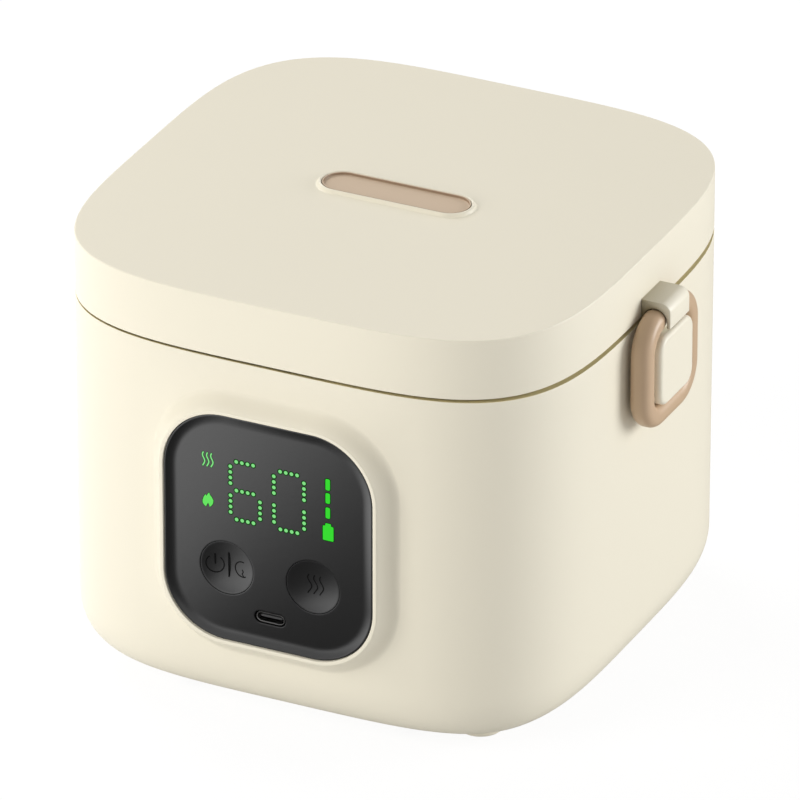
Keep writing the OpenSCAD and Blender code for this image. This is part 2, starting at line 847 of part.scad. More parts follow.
// tan loop on a hinge neck that runs through the knuckle
module ring(right) {
    a = (ring_w - bar_w) / 2;
    b = (ring_h - bar_w) / 2;
    r = ring_r - bar_w / 2;
    neck_end = a - r;
    corners = [[1, 1, 90], [1, -1, 0], [-1, -1, -90], [-1, 1, -180]];
    path = [for (c = corners, i = [0:6])
        let (t = c[2] - 15 * i)
        [c[0] * (a - r) + r * cos(t), c[1] * (b - r) + r * sin(t), t]];
    section = round_rect(bar_w, bar_d, bar_r, 3);
    color(tan_brown) on_axis() on_side(right) {
        loft([for (p = path) [for (s = section)
            [pivot_x + s[1], p[0] + s[0] * cos(p[2]), ring_z + p[1] + s[0] * sin(p[2])]]]);
        translate([pivot_x, 0, pivot_z]) rotate([90, 0, 0]) {
            cylinder(r = pin_r, h = hook_w, center = true);
            for (s = [-1, 1])
                translate([0, 0, s * (neck_end + knuckle_w / 2 + 1.4) / 2])
                    cylinder(r = neck_r, h = neck_end - knuckle_w / 2 + 0.6, center = true);
        }
    }
}

// hook lug: top plate, outer flap and a tenon through the lid's wall
module lid_hook(right) {
    out = flap_x + flap_t;
    top = hook_z + hook_t;
    low = pivot_z - flap_drop;
    r = 3;
    color(cream) on_axis() on_side(right) {
        translate([0, hook_w / 2, 0]) rotate([90, 0, 0]) linear_extrude(hook_w) difference() {
            union() {
                translate([wall_x, lid_z + 0.2]) square([out - r - wall_x, top - lid_z - 0.2]);
                translate([out - r, top - r]) circle(r);
                translate([out - r, low]) square([r, top - r - low]);
            }
            translate([pivot_x, pivot_z]) circle(neck_r + hook_gap);
            translate([pivot_x - neck_r - hook_gap, low - 1])
                square([2 * (neck_r + hook_gap), pivot_z - low + 1]);
        }
        translate([wall_x - lid_t - 0.3, -4, hook_z - 1]) cube([lid_t + 0.5, 8, 2.4]);
    }
}

// ---------- lid ----------

module lid_shell() {
    top_in = lid_top - lid_t;
    rim_h = badge_t + 0.4;
    profile = concat(
        [[lid_t, top_in], [lid_t, lid_z], [0, lid_z]],
        arc([lid_edge_r, lid_top - lid_edge_r], lid_edge_r, 0, -90, 3));
    color(cream) on_axis() difference() {
        union() {
            loft(levels(profile));
            at_lid_screws() translate([0, 0, lid_plate_z + lid_plate_t])
                cylinder(r = boss_r, h = top_in - lid_plate_z - lid_plate_t + eps);
            translate([0, 0, lid_top - eps]) linear_extrude(rim_h + eps) difference() {
                pill(badge_l + 3.4, badge_w + 2.6);
                pill(badge_l + fit, badge_w + fit);
            }
        }
        at_lid_screws() translate([0, 0, lid_plate_z]) cylinder(r = pilot_r, h = lid_bite + 2);
        both_sides() translate([wall_x - lid_t - 1, -4.1, hook_z - 1.1]) cube([lid_t + 2, 8.2, 2.6]);
    }
}

module lid_liner() {
    rib_h = 1.5;
    color([0.9, 0.9, 0.88]) on_axis() difference() {
        union() {
            plate(lid_plate_inset, lid_plate_z, lid_plate_z + lid_plate_t);
            band(gasket_in - 1.2, gasket_in - 0.2, lid_plate_z - rib_h, lid_plate_z + eps);
            band(gasket_in + gasket_w + 0.2, gasket_in + gasket_w + 1.2, lid_plate_z - rib_h,
                lid_plate_z + eps);
        }
        at_lid_screws() {
            translate([0, 0, lid_plate_z - eps]) cylinder(r = hole_r, h = lid_plate_t + 2 * eps);
            translate([0, 0, lid_plate_z - eps]) cylinder(r = head_r + fit, h = 1.2 + eps);
        }
    }
}

module lid_gasket() {
    color([0.85, 0.85, 0.85]) on_axis()
        band(gasket_in, gasket_in + gasket_w, pot_rim_z + pot_rim_t + clear, lid_plate_z);
}

module lid_badge() {
    color(tan_brown) on_axis()
        translate([0, 0, lid_top]) linear_extrude(badge_t) pill(badge_l, badge_w);
}

module lid_screws() {
    color(steel) on_axis() at_lid_screws()
        translate([0, 0, lid_plate_z + 1.2 - head_h]) screw(head_h + lid_bite);
}

// ---------- food container ----------

module food_container() {
    z0 = pot_floor_z;
    wall_in = pot_inset + pot_t;
    top = pot_rim_z + pot_rim_t;
    profile = concat(
        arc([pot_inset + pot_r, z0 + pot_r], pot_r, 90, 0, 5),
        [[pot_inset, pot_rim_z], [pot_edge, pot_rim_z], [pot_edge, top], [wall_in, top]],
        arc([pot_inset + pot_r, z0 + pot_r], pot_r - pot_t, 0, 90, 5));
    color(steel) on_axis() loft(levels(profile));
}

outer_shell();
base_plate();
foot(-1, -1);  // foot_front_left
foot(1, -1);  // foot_front_right
foot(-1, 1);  // foot_rear_left
foot(1, 1);  // foot_rear_right
base_screws();
top_ring();
inner_liner();
insulation_sleeve();
heating_plate();
heater_film();
insulation_pad();
thermal_fuse();
heater_leads();
battery_holder();
cell(1);  // cell_1
cell(2);  // cell_2
cell(3);  // cell_3
cell(4);  // cell_4
nickel_strips();
power_board();
power_inductor();
power_capacitors();
power_chips();
power_board_screws();
control_panel();
display_film();
light_guide();
display_leds();
display_board();
display_board_screws();
tact_switches();
usb_c_receptacle();
ribbon_cable();
latch_mount(true);  // latch_mount_right
latch_mount(false);  // latch_mount_left
latch_screws();
key(-1);  // key_power
key(1);  // key_heat
ring(true);  // ring_right
ring(false);  // ring_left
lid_shell();
lid_liner();
lid_gasket();
lid_badge();
lid_hook(true);  // lid_hook_right
lid_hook(false);  // lid_hook_left
lid_screws();
food_container();
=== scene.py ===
# Electric lunch box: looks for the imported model, built piece by piece in the order of its assembly.
# Sizes are in millimetres about the middle of the housing, and heights count from 0.8 mm above the
# table. piece() turns them into metres in the row's frame.
from math import asin, atan2, cos, degrees, hypot, pi, radians, sin, sqrt

import bmesh
import bpy
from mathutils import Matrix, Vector


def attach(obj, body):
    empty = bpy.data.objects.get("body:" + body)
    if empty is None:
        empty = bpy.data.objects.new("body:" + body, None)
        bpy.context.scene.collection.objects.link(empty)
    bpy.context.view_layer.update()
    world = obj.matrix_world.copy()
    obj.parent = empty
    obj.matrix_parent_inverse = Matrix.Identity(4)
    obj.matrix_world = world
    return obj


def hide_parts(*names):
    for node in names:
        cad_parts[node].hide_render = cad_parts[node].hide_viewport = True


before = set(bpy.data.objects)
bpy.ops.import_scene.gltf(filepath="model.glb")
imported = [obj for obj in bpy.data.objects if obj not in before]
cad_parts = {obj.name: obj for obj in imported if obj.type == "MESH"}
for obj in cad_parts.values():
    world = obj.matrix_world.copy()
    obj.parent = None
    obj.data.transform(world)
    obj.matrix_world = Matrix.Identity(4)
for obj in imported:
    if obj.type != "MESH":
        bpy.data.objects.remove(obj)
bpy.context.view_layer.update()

# ---------------------------------------------------------------------------------------------
# Camera: the photograph's view, from the front, 25 degrees round to the right and 27 degrees up,
# from far away with a long lens. The small shift is the photograph's own framing.
camera = bpy.data.objects.new("camera", bpy.data.cameras.new("camera"))
bpy.context.scene.collection.objects.link(camera)
around, above, away = radians(25.572), radians(27.301), 3.32309
target = Vector((0, 0.0023, 0.07118))
back = Vector((sin(around) * cos(above), -cos(around) * cos(above), sin(above)))
camera.location = target + away * back
camera.rotation_euler = back.to_track_quat("Z", "Y").to_euler()
camera.data.lens = 518.61
camera.data.sensor_width = 36
camera.data.shift_x = 0.0045
camera.data.shift_y = -0.0053
camera.data.clip_end = 20
bpy.context.scene.camera = camera
bpy.context.scene.view_settings.view_transform = "Standard"

# Studio: a dim even room, soft lamps from the front left, the right and high at the back left, and a
# floor that glows with a painted pool of light, brighter to the left. The camera sees pure white behind
# the box, mirror rays a duller grey, and in mirror rays the floor has a painted reflection gradient.
world = bpy.data.worlds.new("studio")
bpy.context.scene.world = world
world.use_nodes = True


def ray_kinds(nodes, links):
    """A light path node, and a socket that is 1 for rays from the camera or through glass."""
    path = nodes.new("ShaderNodeLightPath")
    seen = nodes.new("ShaderNodeMath")
    seen.operation = "MAXIMUM"
    links.new(path.outputs["Is Camera Ray"], seen.inputs[0])
    links.new(path.outputs["Is Transmission Ray"], seen.inputs[1])
    return path, seen.outputs[0]


nodes, links = world.node_tree.nodes, world.node_tree.links
path, seen = ray_kinds(nodes, links)
white = nodes.new("ShaderNodeBackground")
white.inputs["Color"].default_value = (1, 1, 1, 1)
mirror = nodes.new("ShaderNodeBackground")
mirror.inputs["Color"].default_value = (0.7, 0.7, 0.7, 1)
room = nodes["Background"]
room.inputs["Color"].default_value = (0.33, 0.33, 0.335, 1)
glossy = nodes.new("ShaderNodeMixShader")
links.new(path.outputs["Is Glossy Ray"], glossy.inputs[0])
links.new(room.outputs[0], glossy.inputs[1])
links.new(mirror.outputs[0], glossy.inputs[2])
choose = nodes.new("ShaderNodeMixShader")
links.new(seen, choose.inputs[0])
links.new(glossy.outputs[0], choose.inputs[1])
links.new(white.outputs[0], choose.inputs[2])
links.new(choose.outputs[0], nodes["World Output"].inputs["Surface"])


def lamp(name, azimuth, elevation, distance, size, power, colour=(1, 1, 1)):
    """A square area lamp that looks at the box. Azimuth 0 is the front, 90 the right side."""
    light = bpy.data.lights.new(name, "AREA")
    light.size, light.energy, light.color = size, power, colour
    obj = bpy.data.objects.new(name, light)
    bpy.context.scene.collection.objects.link(obj)
    a, e = radians(azimuth), radians(elevation)
    toward = Vector((sin(a) * cos(e), -cos(a) * cos(e), sin(e)))
    obj.location = target + distance * toward
    obj.rotation_euler = toward.to_track_quat("Z", "Y").to_euler()
    return obj


lamp_left = lamp("lamp_left", -30.5, 25, 1.6, 1.0, 15.4, (1, 0.985, 0.955))
lamp_left.visible_glossy = False
lamp("lamp_right", 118, 10, 1.6, 0.9, 21.5, (0.985, 0.99, 1))
lamp("lamp_high", -118, 42, 2.2, 1.2, 20, (1, 0.99, 0.97))

floor_bm = bmesh.new()
bmesh.ops.create_circle(floor_bm, cap_ends=True, segments=96, radius=3)
floor_mesh = bpy.data.meshes.new("floor")
floor_bm.to_mesh(floor_mesh)
floor_bm.free()
floor = bpy.data.objects.new("floor", floor_mesh)
bpy.context.scene.collection.objects.link(floor)
floor_paint = bpy.data.materials.new("floor_white")
floor_paint.use_nodes = True
nodes, links = floor_paint.node_tree.nodes, floor_paint.node_tree.links
nodes.remove(nodes["Principled BSDF"])
path, seen = ray_kinds(nodes, links)
where = nodes.new("ShaderNodeTexCoord")
across = nodes.new("ShaderNodeVectorMath")
across.operation = "DOT_PRODUCT"
across.inputs[1].default_value = (-1, 0, 0)
links.new(where.outputs["Object"], across.inputs[0])


def painted_pool(dark, light, near, far):
    """Painted light on the floor, brighter towards the left lamp: a grey that rises from near to far, in
    metres.
    """
    node = nodes.new("ShaderNodeMapRange")
    node.interpolation_type = "SMOOTHSTEP"
    for socket, value in zip(node.inputs[1:5], (near, far, dark, light)):
        socket.default_value = value
    links.new(across.outputs["Value"], node.inputs["Value"])
    return node.outputs["Result"]


# painted light: the floor glows in a pool that is brighter to the left, so it lights the box from below
painted_floor_glow = nodes.new("ShaderNodeEmission")
links.new(painted_pool(0.37, 0.66, -0.12, 0.16), painted_floor_glow.inputs["Color"])
paper = nodes.new("ShaderNodeBsdfDiffuse")
paper.inputs["Color"].default_value = (0.4, 0.4, 0.4, 1)
plain = nodes.new("ShaderNodeAddShader")
links.new(painted_floor_glow.outputs[0], plain.inputs[0])
links.new(paper.outputs[0], plain.inputs[1])
shade = nodes.new("ShaderNodeBsdfDiffuse")
shade.inputs["Color"].default_value = (0.12, 0.12, 0.12, 1)
glow = nodes.new("ShaderNodeEmission")
glow.inputs["Color"].default_value = (0.9, 0.9, 0.9, 1)
both = nodes.new("ShaderNodeAddShader")
links.new(shade.outputs[0], both.inputs[0])
links.new(glow.outputs[0], both.inputs[1])
front = nodes.new("ShaderNodeMixShader")
links.new(seen, front.inputs[0])
links.new(plain.outputs[0], front.inputs[1])
links.new(both.outputs[0], front.inputs[2])
below = nodes.new("ShaderNodeMixShader")
geometry = nodes.new("ShaderNodeNewGeometry")
links.new(geometry.outputs["Backfacing"], below.inputs[0])
# painted reflection: mirror rays see the floor dark under and right of the box, and bright far to its left
painted_floor_reflection = nodes.new("ShaderNodeEmission")
links.new(painted_pool(0.09, 1.5, 0.03, 0.105), painted_floor_reflection.inputs["Color"])
in_gloss = nodes.new("ShaderNodeMixShader")
links.new(path.outputs["Is Glossy Ray"], in_gloss.inputs[0])
links.new(front.outputs[0], in_gloss.inputs[1])
links.new(painted_floor_reflection.outputs[0], in_gloss.inputs[2])
links.new(in_gloss.outputs[0], below.inputs[1])
links.new(nodes.new("ShaderNodeBsdfTransparent").outputs[0], below.inputs[2])
links.new(below.outputs[0], nodes["Material Output"].inputs["Surface"])
floor_mesh.materials.append(floor_paint)

# ---------------------------------------------------------------------------------------------
# Outer shell: one moulding in warm cream plastic. Its plan outline is a superellipse of the fourth
# power, the bottom edge is a big fillet, and the front swells into a pod with a thin lip round the
# panel. The pod and the wall are one skin: the wall's grid is opened and drawn out loop by loop.


def maths(nodes, links):
    """A function that adds one maths node; a and b are numbers or other nodes' outputs."""
    def math(operation, a, b):
        node = nodes.new("ShaderNodeMath")
        node.operation = operation
        for socket, value in zip(node.inputs, (a, b)):
            if isinstance(value, (int, float)):
                socket.default_value = value
            else:
                links.new(value, socket)
        return node.outputs[0]
    return math


def shader_group(name, takes, gives):
    """A node group with its sockets, named by kind, and its input and output nodes."""
    group = bpy.data.node_groups.new(name, "ShaderNodeTree")
    for in_out, sockets in (("INPUT", takes), ("OUTPUT", gives)):
        for socket, kind in sockets.items():
            group.interface.new_socket(socket, in_out=in_out, socket_type="NodeSocket" + kind)
    return group, group.nodes.new("NodeGroupInput"), group.nodes.new("NodeGroupOutput")


skin_sockets = {"Colour": "Color", "Roughness": "Float", "Height": "Float"}


def moulded_group():
    """Shader group: the fine spark-eroded grain and the faint cloudiness of a moulded plastic."""
    group, start, end = shader_group(
        "moulded_skin", {"Colour": "Color", "Cloud": "Float", "Grain": "Float", "Roughness": "Float"},
        skin_sockets)
    nodes, links = group.nodes, group.links
    where = nodes.new("ShaderNodeTexCoord")
    cloud = nodes.new("ShaderNodeTexNoise")
    cloud.inputs["Scale"].default_value = 9
    cloud.inputs["Detail"].default_value = 4
    grain = nodes.new("ShaderNodeTexNoise")
    grain.inputs["Detail"].default_value = 2
    for noise in (cloud, grain):
        links.new(where.outputs["Object"], noise.inputs["Vector"])
    links.new(start.outputs["Grain"], grain.inputs["Scale"])

    math = maths(nodes, links)
    swing = math("MULTIPLY", math("SUBTRACT", cloud.outputs["Fac"], 0.5), start.outputs["Cloud"])
    tint = nodes.new("ShaderNodeHueSaturation")
    links.new(start.outputs["Colour"], tint.inputs["Color"])
    links.new(math("ADD", swing, 1), tint.inputs["Value"])
    links.new(tint.outputs["Color"], end.inputs["Colour"])
    links.new(math("ADD", start.outputs["Roughness"], math("MULTIPLY", swing, 3)), end.inputs["Roughness"])
    links.new(grain.outputs["Fac"], end.inputs["Height"])
    return group


moulded_skin = moulded_group()


def skinned(name, group, values, bump, depth):
    """A material whose skin group, set to values, feeds a Principled shader of its own."""
    material = bpy.data.materials.new(name)
    material.use_nodes = True
    nodes, links = material.node_tree.nodes, material.node_tree.links
    shader = nodes["Principled BSDF"]
    skin = nodes.new("ShaderNodeGroup")
    skin.node_tree = group
    for socket, value in values.items():
        skin.inputs[socket].default_value = value
    raised = nodes.new("ShaderNodeBump")
    raised.inputs["Strength"].default_value = bump
    raised.inputs["Distance"].default_value = depth
    links.new(skin.outputs["Colour"], shader.inputs["Base Color"])
    links.new(skin.outputs["Roughness"], shader.inputs["Roughness"])
    links.new(skin.outputs["Height"], raised.inputs["Height"])
    links.new(raised.outputs["Normal"], shader.inputs["Normal"])
    return material, shader


def plastic(name, colour, roughness, grain=900.0, cloud=0.03, bump=0.04, specular=0.5):
    material, shader = skinned(name, moulded_skin, {"Colour": (*colour, 1), "Roughness": roughness,
                                                    "Grain": grain, "Cloud": cloud}, bump, 0.0002)
    shader.inputs["Specular IOR Level"].default_value = specular
    return material


half_width, shrink_from, draft_top = 80, 22, 116


def squircle(angle, inset):
    """Point of the plan outline at a polar angle, moved in along its normal; deep insets shrink it."""
    c, s = cos(angle), sin(angle)
    r = half_width * (c ** 4 + s ** 4) ** -0.25
    x, y = r * c, r * s
    n = hypot(x ** 3, y ** 3)
    d = min(inset, shrink_from)
    k = (half_width - max(inset, shrink_from)) / (half_width - shrink_from)
    return k * (x - d * x ** 3 / n), k * (y - d * y ** 3 / n)


def arc(inset, z, r, start, stop, steps):
    """Points (inset, height) of an arc; 0 degrees points outwards, 90 up."""
    turns = [radians(start + (stop - start) * i / steps) for i in range(steps + 1)]
    return [(inset - r * cos(a), z + r * sin(a)) for a in turns]


def spun(profile, closed=True, steps=256):
    """A profile of (inset, height) turned once round the upright axis, still as a round body."""
    bm = bmesh.new()
    verts = [bm.verts.new((half_width - inset, 0, z)) for inset, z in profile]
    edges = [bm.edges.new(pair) for pair in zip(verts, verts[1:])]
    if closed:
        edges.append(bm.edges.new((verts[-1], verts[0])))
    bmesh.ops.spin(bm, geom=verts + edges, cent=(0, 0, 0), axis=(0, 0, 1), angle=2 * pi, steps=steps,
                   use_merge=True)
    return bm


def to_outline(bm, draft=0.0):
    """Turn the round body into the superellipse of the box, inset for inset, with the mould's draft."""
    for v in bm.verts:
        inset = half_width - hypot(v.co.x, v.co.y) + draft * max(draft_top - v.co.z, 0)
        v.co.x, v.co.y = squircle(atan2(v.co.y, v.co.x), inset)
    return bm


def round_rect(angle, a, b, r):
    """How far out a ray from the middle meets a rounded rectangle of half sizes a and b."""
    c, s = max(abs(cos(angle)), 1e-9), max(abs(sin(angle)), 1e-9)
    t = min(a / c, b / s)
    if t * c > a - r and t * s > b - r:
        d = c * (a - r) + s * (b - r)
        t = d + sqrt(max(d * d - (a - r) ** 2 - (b - r) ** 2 + r * r, 0))
    return t


def drawn_out(bm, edges, place):
    """Extrude a loop of edges once, put each new vertex where place says, and return the new loop."""
    new = bmesh.ops.extrude_edge_only(bm, edges=edges)["geom"]
    verts = {g for g in new if isinstance(g, bmesh.types.BMVert)}
    for v in verts:
        v.co = place(v.co)
    return [g for g in new if isinstance(g, bmesh.types.BMEdge) and verts.issuperset(g.verts)]


row_origin = Vector((0, 2.3, 0.8))
sharp_edge = radians(35)


def piece(name, bm, body, material, replaces=()):
    """Finish a bmesh in millimetres as a piece in the row frame that rides on a body."""
    bmesh.ops.remove_doubles(bm, verts=bm.verts, dist=0.0005)
    bmesh.ops.recalc_face_normals(bm, faces=bm.faces)
    bmesh.ops.translate(bm, verts=bm.verts, vec=row_origin)
    bmesh.ops.scale(bm, verts=bm.verts, vec=(0.001, 0.001, 0.001))
    mesh = bpy.data.meshes.new(name)
    bm.to_mesh(mesh)
    bm.free()
    mesh.shade_smooth()
    mesh.set_sharp_from_angle(angle=sharp_edge)
    mesh.materials.append(material)
    obj = bpy.data.objects.new(name, mesh)
    bpy.context.scene.collection.objects.link(obj)
    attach(obj, body)
    if replaces:
        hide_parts(*replaces)
    return obj


cream = plastic("cream_moulding", (0.835, 0.785, 0.645), 0.42, bump=0.05, cloud=0.015)

panel_z = 64.3
panel_a, panel_b, panel_r = 32.75, 35.75, 19
lip_y, lip_edge, flank = -84.6, 1.4, 4.9
panel_back = -81.1
corner, wall, fillet_z, wall_top = 17, 2.5, 19.5, 111
rows = [fillet_z + (wall_top - fillet_z) * i / 36 for i in range(37)]
skin_out = arc(corner, fillet_z, corner, -81.5, 0, 18)[:-1] + [(0, z) for z in rows]
skin_out += arc(0.15, 115.35, 0.15, 0, 90, 3)
skin_in = [(0.3, 115.45), (2.35, 115.06), (wall, 114.91)] + [(wall, z) for z in reversed(rows)]
skin_in += arc(corner, fillet_z, corner - wall, 0, -53.8, 12)[1:]
shell = spun(skin_out + skin_in + [(20, 7.8), (20, 5.5), (14.5, 5.5)])
opened = []
for f in shell.faces:
    m = f.calc_center_median()
    depth = half_width - hypot(m.x, m.y)
    in_front = abs(degrees(atan2(m.y, m.x)) + 90) < 30
    if in_front and fillet_z < m.z < wall_top and (depth < 0.5 or 2.3 < depth < 3):
        opened.append(f)
bmesh.ops.delete(shell, geom=opened, context="FACES")
edge_loops = [e for e in shell.edges if e.is_boundary]
outer_loop = [e for e in edge_loops if all(hypot(v.co.x, v.co.y) > half_width - 1 for v in e.verts)]
inner_loop = [e for e in edge_loops if e not in outer_loop]
to_outline(shell, draft=0.0026)
# the rim drops towards the right, where the photograph's shadow gap under the lid is wider
for v in shell.verts:
    if v.co.z > 115.2:
        x, y = v.co.x / half_width, v.co.y / half_width
        v.co.z -= 0.2 * x + 0.6 * max(x, 0) ** 6 * (1 + max(y, 0))


def pod_place(o, depth):
    """Place a loop on the panel's outline grown by o; depth gives y from x."""
    def place(co):
        a = atan2(co.z - panel_z, co.x)
        t = round_rect(a, panel_a + o, panel_b + o, max(panel_r + o, 1))
        return Vector((t * cos(a), depth(t * cos(a)), panel_z + t * sin(a)))
    return place


def wall_y(x, half=half_width):
    return -(half ** 4 - x ** 4) ** 0.25


def flank_y(t):
    """The pod's flank: from the lip's edge it leans back more and more, then meets the wall softly."""
    s = 1 - (1 - t) ** 2 * (1 + 1.3 * t)
    return lambda x: lip_y + 0.2 + s * (wall_y(x) + 0.15 - lip_y - 0.2)


loop = outer_loop
for i in range(13):
    t = 1 - i / 12
    loop = drawn_out(shell, loop, pod_place(lip_edge + flank * t, flank_y(t)))
deep = panel_back - lip_y
for o, depth in ((1.37, 0.08), (1.27, 0.01), (1.2, 0), (0.42, 0), (0.32, 0.03), (0.25, 0.15),
                 (0.25, deep - 0.1), (0.25, deep), (-2.4, deep), (-2.5, deep + 0.1)):
    loop = drawn_out(shell, loop, pod_place(o, lambda x, d=depth: lip_y + d))
loop = drawn_out(shell, loop, pod_place(-2.5, lambda x: wall_y(x, half_width - wall)))
bmesh.ops.bridge_loops(shell, edges=loop + inner_loop)
housing = piece("housing_shell", shell, "housing", cream, ["outer_shell"])
# painted shade: the rim's top, in the shadow gap under the lid, has a darker olive colour
housing.data.materials.append(plastic("rim_painted_shade", (0.76, 0.66, 0.36), 0.5, bump=0.05))
for face in housing.data.polygons:
    if face.center.z > 0.1151 and face.normal.z > 0.8:
        face.material_index = 1

# ---------------------------------------------------------------------------------------------
# Control panel: black satin polycarbonate, glued into the pod's recess a little behind the lip. Its
# face is a shallow tray with a coved border, and it is pierced for the two keys and the port.
panel_edge_y, panel_y = -84.1, -83.1
key_x, key_z, key_hole = 13.6, 51.1, 8.45
port_z, port_a, port_b = 37.8, 4.97, 1.98
black = plastic("panel_black", (0.006, 0.006, 0.0062), 0.3, grain=700, bump=0.05, cloud=0.04, specular=1.0)


def ring_at(bm, segments, place):
    """A loop of edges on a circle, put in place by its angle."""
    verts = bmesh.ops.create_circle(bm, segments=segments, radius=1)["verts"]
    loop = list({e for v in verts for e in v.link_edges})
    for v in verts:
        v.co = place(atan2(v.co.y, v.co.x))
    return loop


def rect_ring(a, b, r, x, z, y):
    """Place a loop on an upright rounded rectangle about (x, z), at depth y."""
    def place(angle):
        t = round_rect(angle, a, b, r)
        return Vector((x + t * cos(angle), y, z + t * sin(angle)))
    return place


def moved_ring(a, b, r, x, z, y):
    """The same for the vertices of a loop that is drawn out."""
    place = rect_ring(a, b, r, x, z, y)
    return lambda co: place(atan2(co.z - z, co.x - x))


panel = bmesh.new()
flat, cove = 0.4, 3.2
tray = -flat - cove - 0.3
rim = ring_at(panel, 160, rect_ring(panel_a + tray, panel_b + tray, panel_r + tray, 0, panel_z, panel_y))
holes = [(key_hole, key_hole, key_hole, side * key_x, key_z) for side in (-1, 1)]
holes.append((port_a, port_b, port_b, 0, port_z))
mouths = [ring_at(panel, 64, rect_ring(a + 0.4, b + 0.4, r + 0.4, x, z, panel_y))
          for a, b, r, x, z in holes]
bmesh.ops.triangle_fill(panel, use_beauty=True, edges=rim + [e for m in mouths for e in m],
                        normal=(0, -1, 0))
border = [(-flat - cove * (1 - i / 10), panel_y + (panel_edge_y - panel_y) * (i / 10) ** 2)
          for i in range(11)]
border += [(-0.15, panel_edge_y), (-0.04, panel_edge_y + 0.04), (0, panel_edge_y + 0.15), (0, panel_back)]
for o, y in border:
    rim = drawn_out(panel, rim, moved_ring(panel_a + o, panel_b + o, panel_r + o, 0, panel_z, y))
backs = []
for mouth, (a, b, r, x, z) in zip(mouths, holes):
    for grow, depth in ((0.07, 0), (0.02, 0.02), (0, 0.07), (0, panel_back - panel_y)):
        mouth = drawn_out(panel, mouth, moved_ring(a + grow, b + grow, r + grow, x, z, panel_y + depth))
    backs.append(mouth)
window = (23, 12.2, 0.5, 0, 76.6)
pocket = ring_at(panel, 40, rect_ring(*window, panel_back))
bmesh.ops.triangle_fill(panel, use_beauty=True, edges=rim + pocket + [e for m in backs for e in m],
                        normal=(0, 1, 0))
pocket = drawn_out(panel, pocket, moved_ring(*window, -82.2))
bmesh.ops.triangle_fill(panel, use_beauty=True, edges=pocket, normal=(0, 1, 0))
piece("front_panel", panel, "housing", black, ["control_panel"])

# ---------------------------------------------------------------------------------------------
# Keys: two round caps of the panel's plastic, each with a spherical dish for the finger, a flange
# behind the panel and a post over its switch. The signs are engraved lines filled with black.
key_face, dish, key_r = -83.0, 1.3, 8.35
dish_r = ((key_r - 0.12) ** 2 + dish ** 2) / (2 * dish)
key_black = plastic("key_black", (0.005, 0.005, 0.0052), 0.32, bump=0.05, cloud=0.04, specular=1.0)
ink = plastic("engraved_ink", (0.004, 0.004, 0.004), 0.7, bump=0.02, specular=0.1)


def dish_y(r):
    return key_face + dish - dish_r + sqrt(dish_r ** 2 - r ** 2)


def turned(profile, x, z, steps=96):
    """A profile of (radius, depth) turned about an axis along Y through (x, z)."""
    bm = bmesh.new()
    verts = [bm.verts.new((r, y, 0)) for r, y in profile]
    edges = [bm.edges.new(pair) for pair in zip(verts, verts[1:])]
    bmesh.ops.spin(bm, geom=verts + edges, cent=(0, 0, 0), axis=(0, 1, 0), angle=2 * pi, steps=steps,
                   use_merge=True)
    bmesh.ops.translate(bm, verts=bm.verts, vec=(x, 0, z))
    return bm


def stroke(bm, points, width, x, z):
    """A line of the sign: a strip along the points that follows the dish, a hair above it."""
    loop = []
    for i, p in enumerate(points):
        d = Vector(points[min(i + 1, len(points) - 1)]) - Vector(points[max(i - 1, 0)])
        d *= width / 2 / d.length
        left, right = [Vector((x + px, dish_y(hypot(px, pz)) - 0.03, z + pz))
                       for px, pz in ((p[0] - d.y, p[1] + d.x), (p[0] + d.y, p[1] - d.x))]
        if loop:
            loop = drawn_out(bm, loop, lambda co: left if (co - last).length < 1e-5 else right)
        else:
            loop = [bm.edges.new((bm.verts.new(left), bm.verts.new(right)))]
        last = left


def bow(r, start, stop, cx=0.0, cy=0.0, steps=18):
    turns = [radians(start + (stop - start) * i / steps) for i in range(steps + 1)]
    return [(cx + r * cos(a), cy + r * sin(a)) for a in turns]


def wave(x):
    heights = [3.3 - 6.1 * i / 24 for i in range(25)]
    return [(x - 0.6 * cos(pi * (z - 2.2) / 2.7), z) for z in heights]


for name, side in (("key_power", -1), ("key_heat", 1)):
    cap = [(dish_r * sin(a), key_face + dish - dish_r + dish_r * cos(a))
           for a in (asin((key_r - 0.12) / dish_r) * i / 16 for i in range(17))]
    cap[0] = (0, cap[0][1])
    cap += [(key_r - 0.05, key_face + 0.01), (key_r, key_face + 0.07), (key_r, -80.8), (9.2, -80.8),
            (9.2, -79.8), (2, -79.8), (2, -79.3), (0, -79.3)]
    piece(name + "_cap", turned(cap, side * key_x, key_z), name, key_black, [name])
    signs = bmesh.new()
    if side < 0:
        lines = [bow(2.7, 125, 415, -4.15, 0), [(-4.15, 3.3), (-4.15, -0.1)], [(0.15, 4.4), (0.15, -3.4)],
                 bow(2.4, 75, 300, 4.45, 0), [(4.35, -0.1), (4.75, -0.8), (4.35, -1.5), (4.95, -2.3)]]
    else:
        lines = [wave(x) for x in (-1.65, 0.2, 2.1)]
    for line in lines:
        stroke(signs, line, 0.36, side * key_x, key_z)
    bmesh.ops.recalc_face_normals(signs, faces=signs.faces)
    bmesh.ops.solidify(signs, geom=signs.faces[:], thickness=0.12)
    piece(name + "_sign", signs, name, ink)

# ---------------------------------------------------------------------------------------------
# Display: two digits of green dots, a bar meter with a battery, a steam sign and a flame sign. The
# light shines through the panel's skin, so each lit shape lies flush with a soft dark-green border.


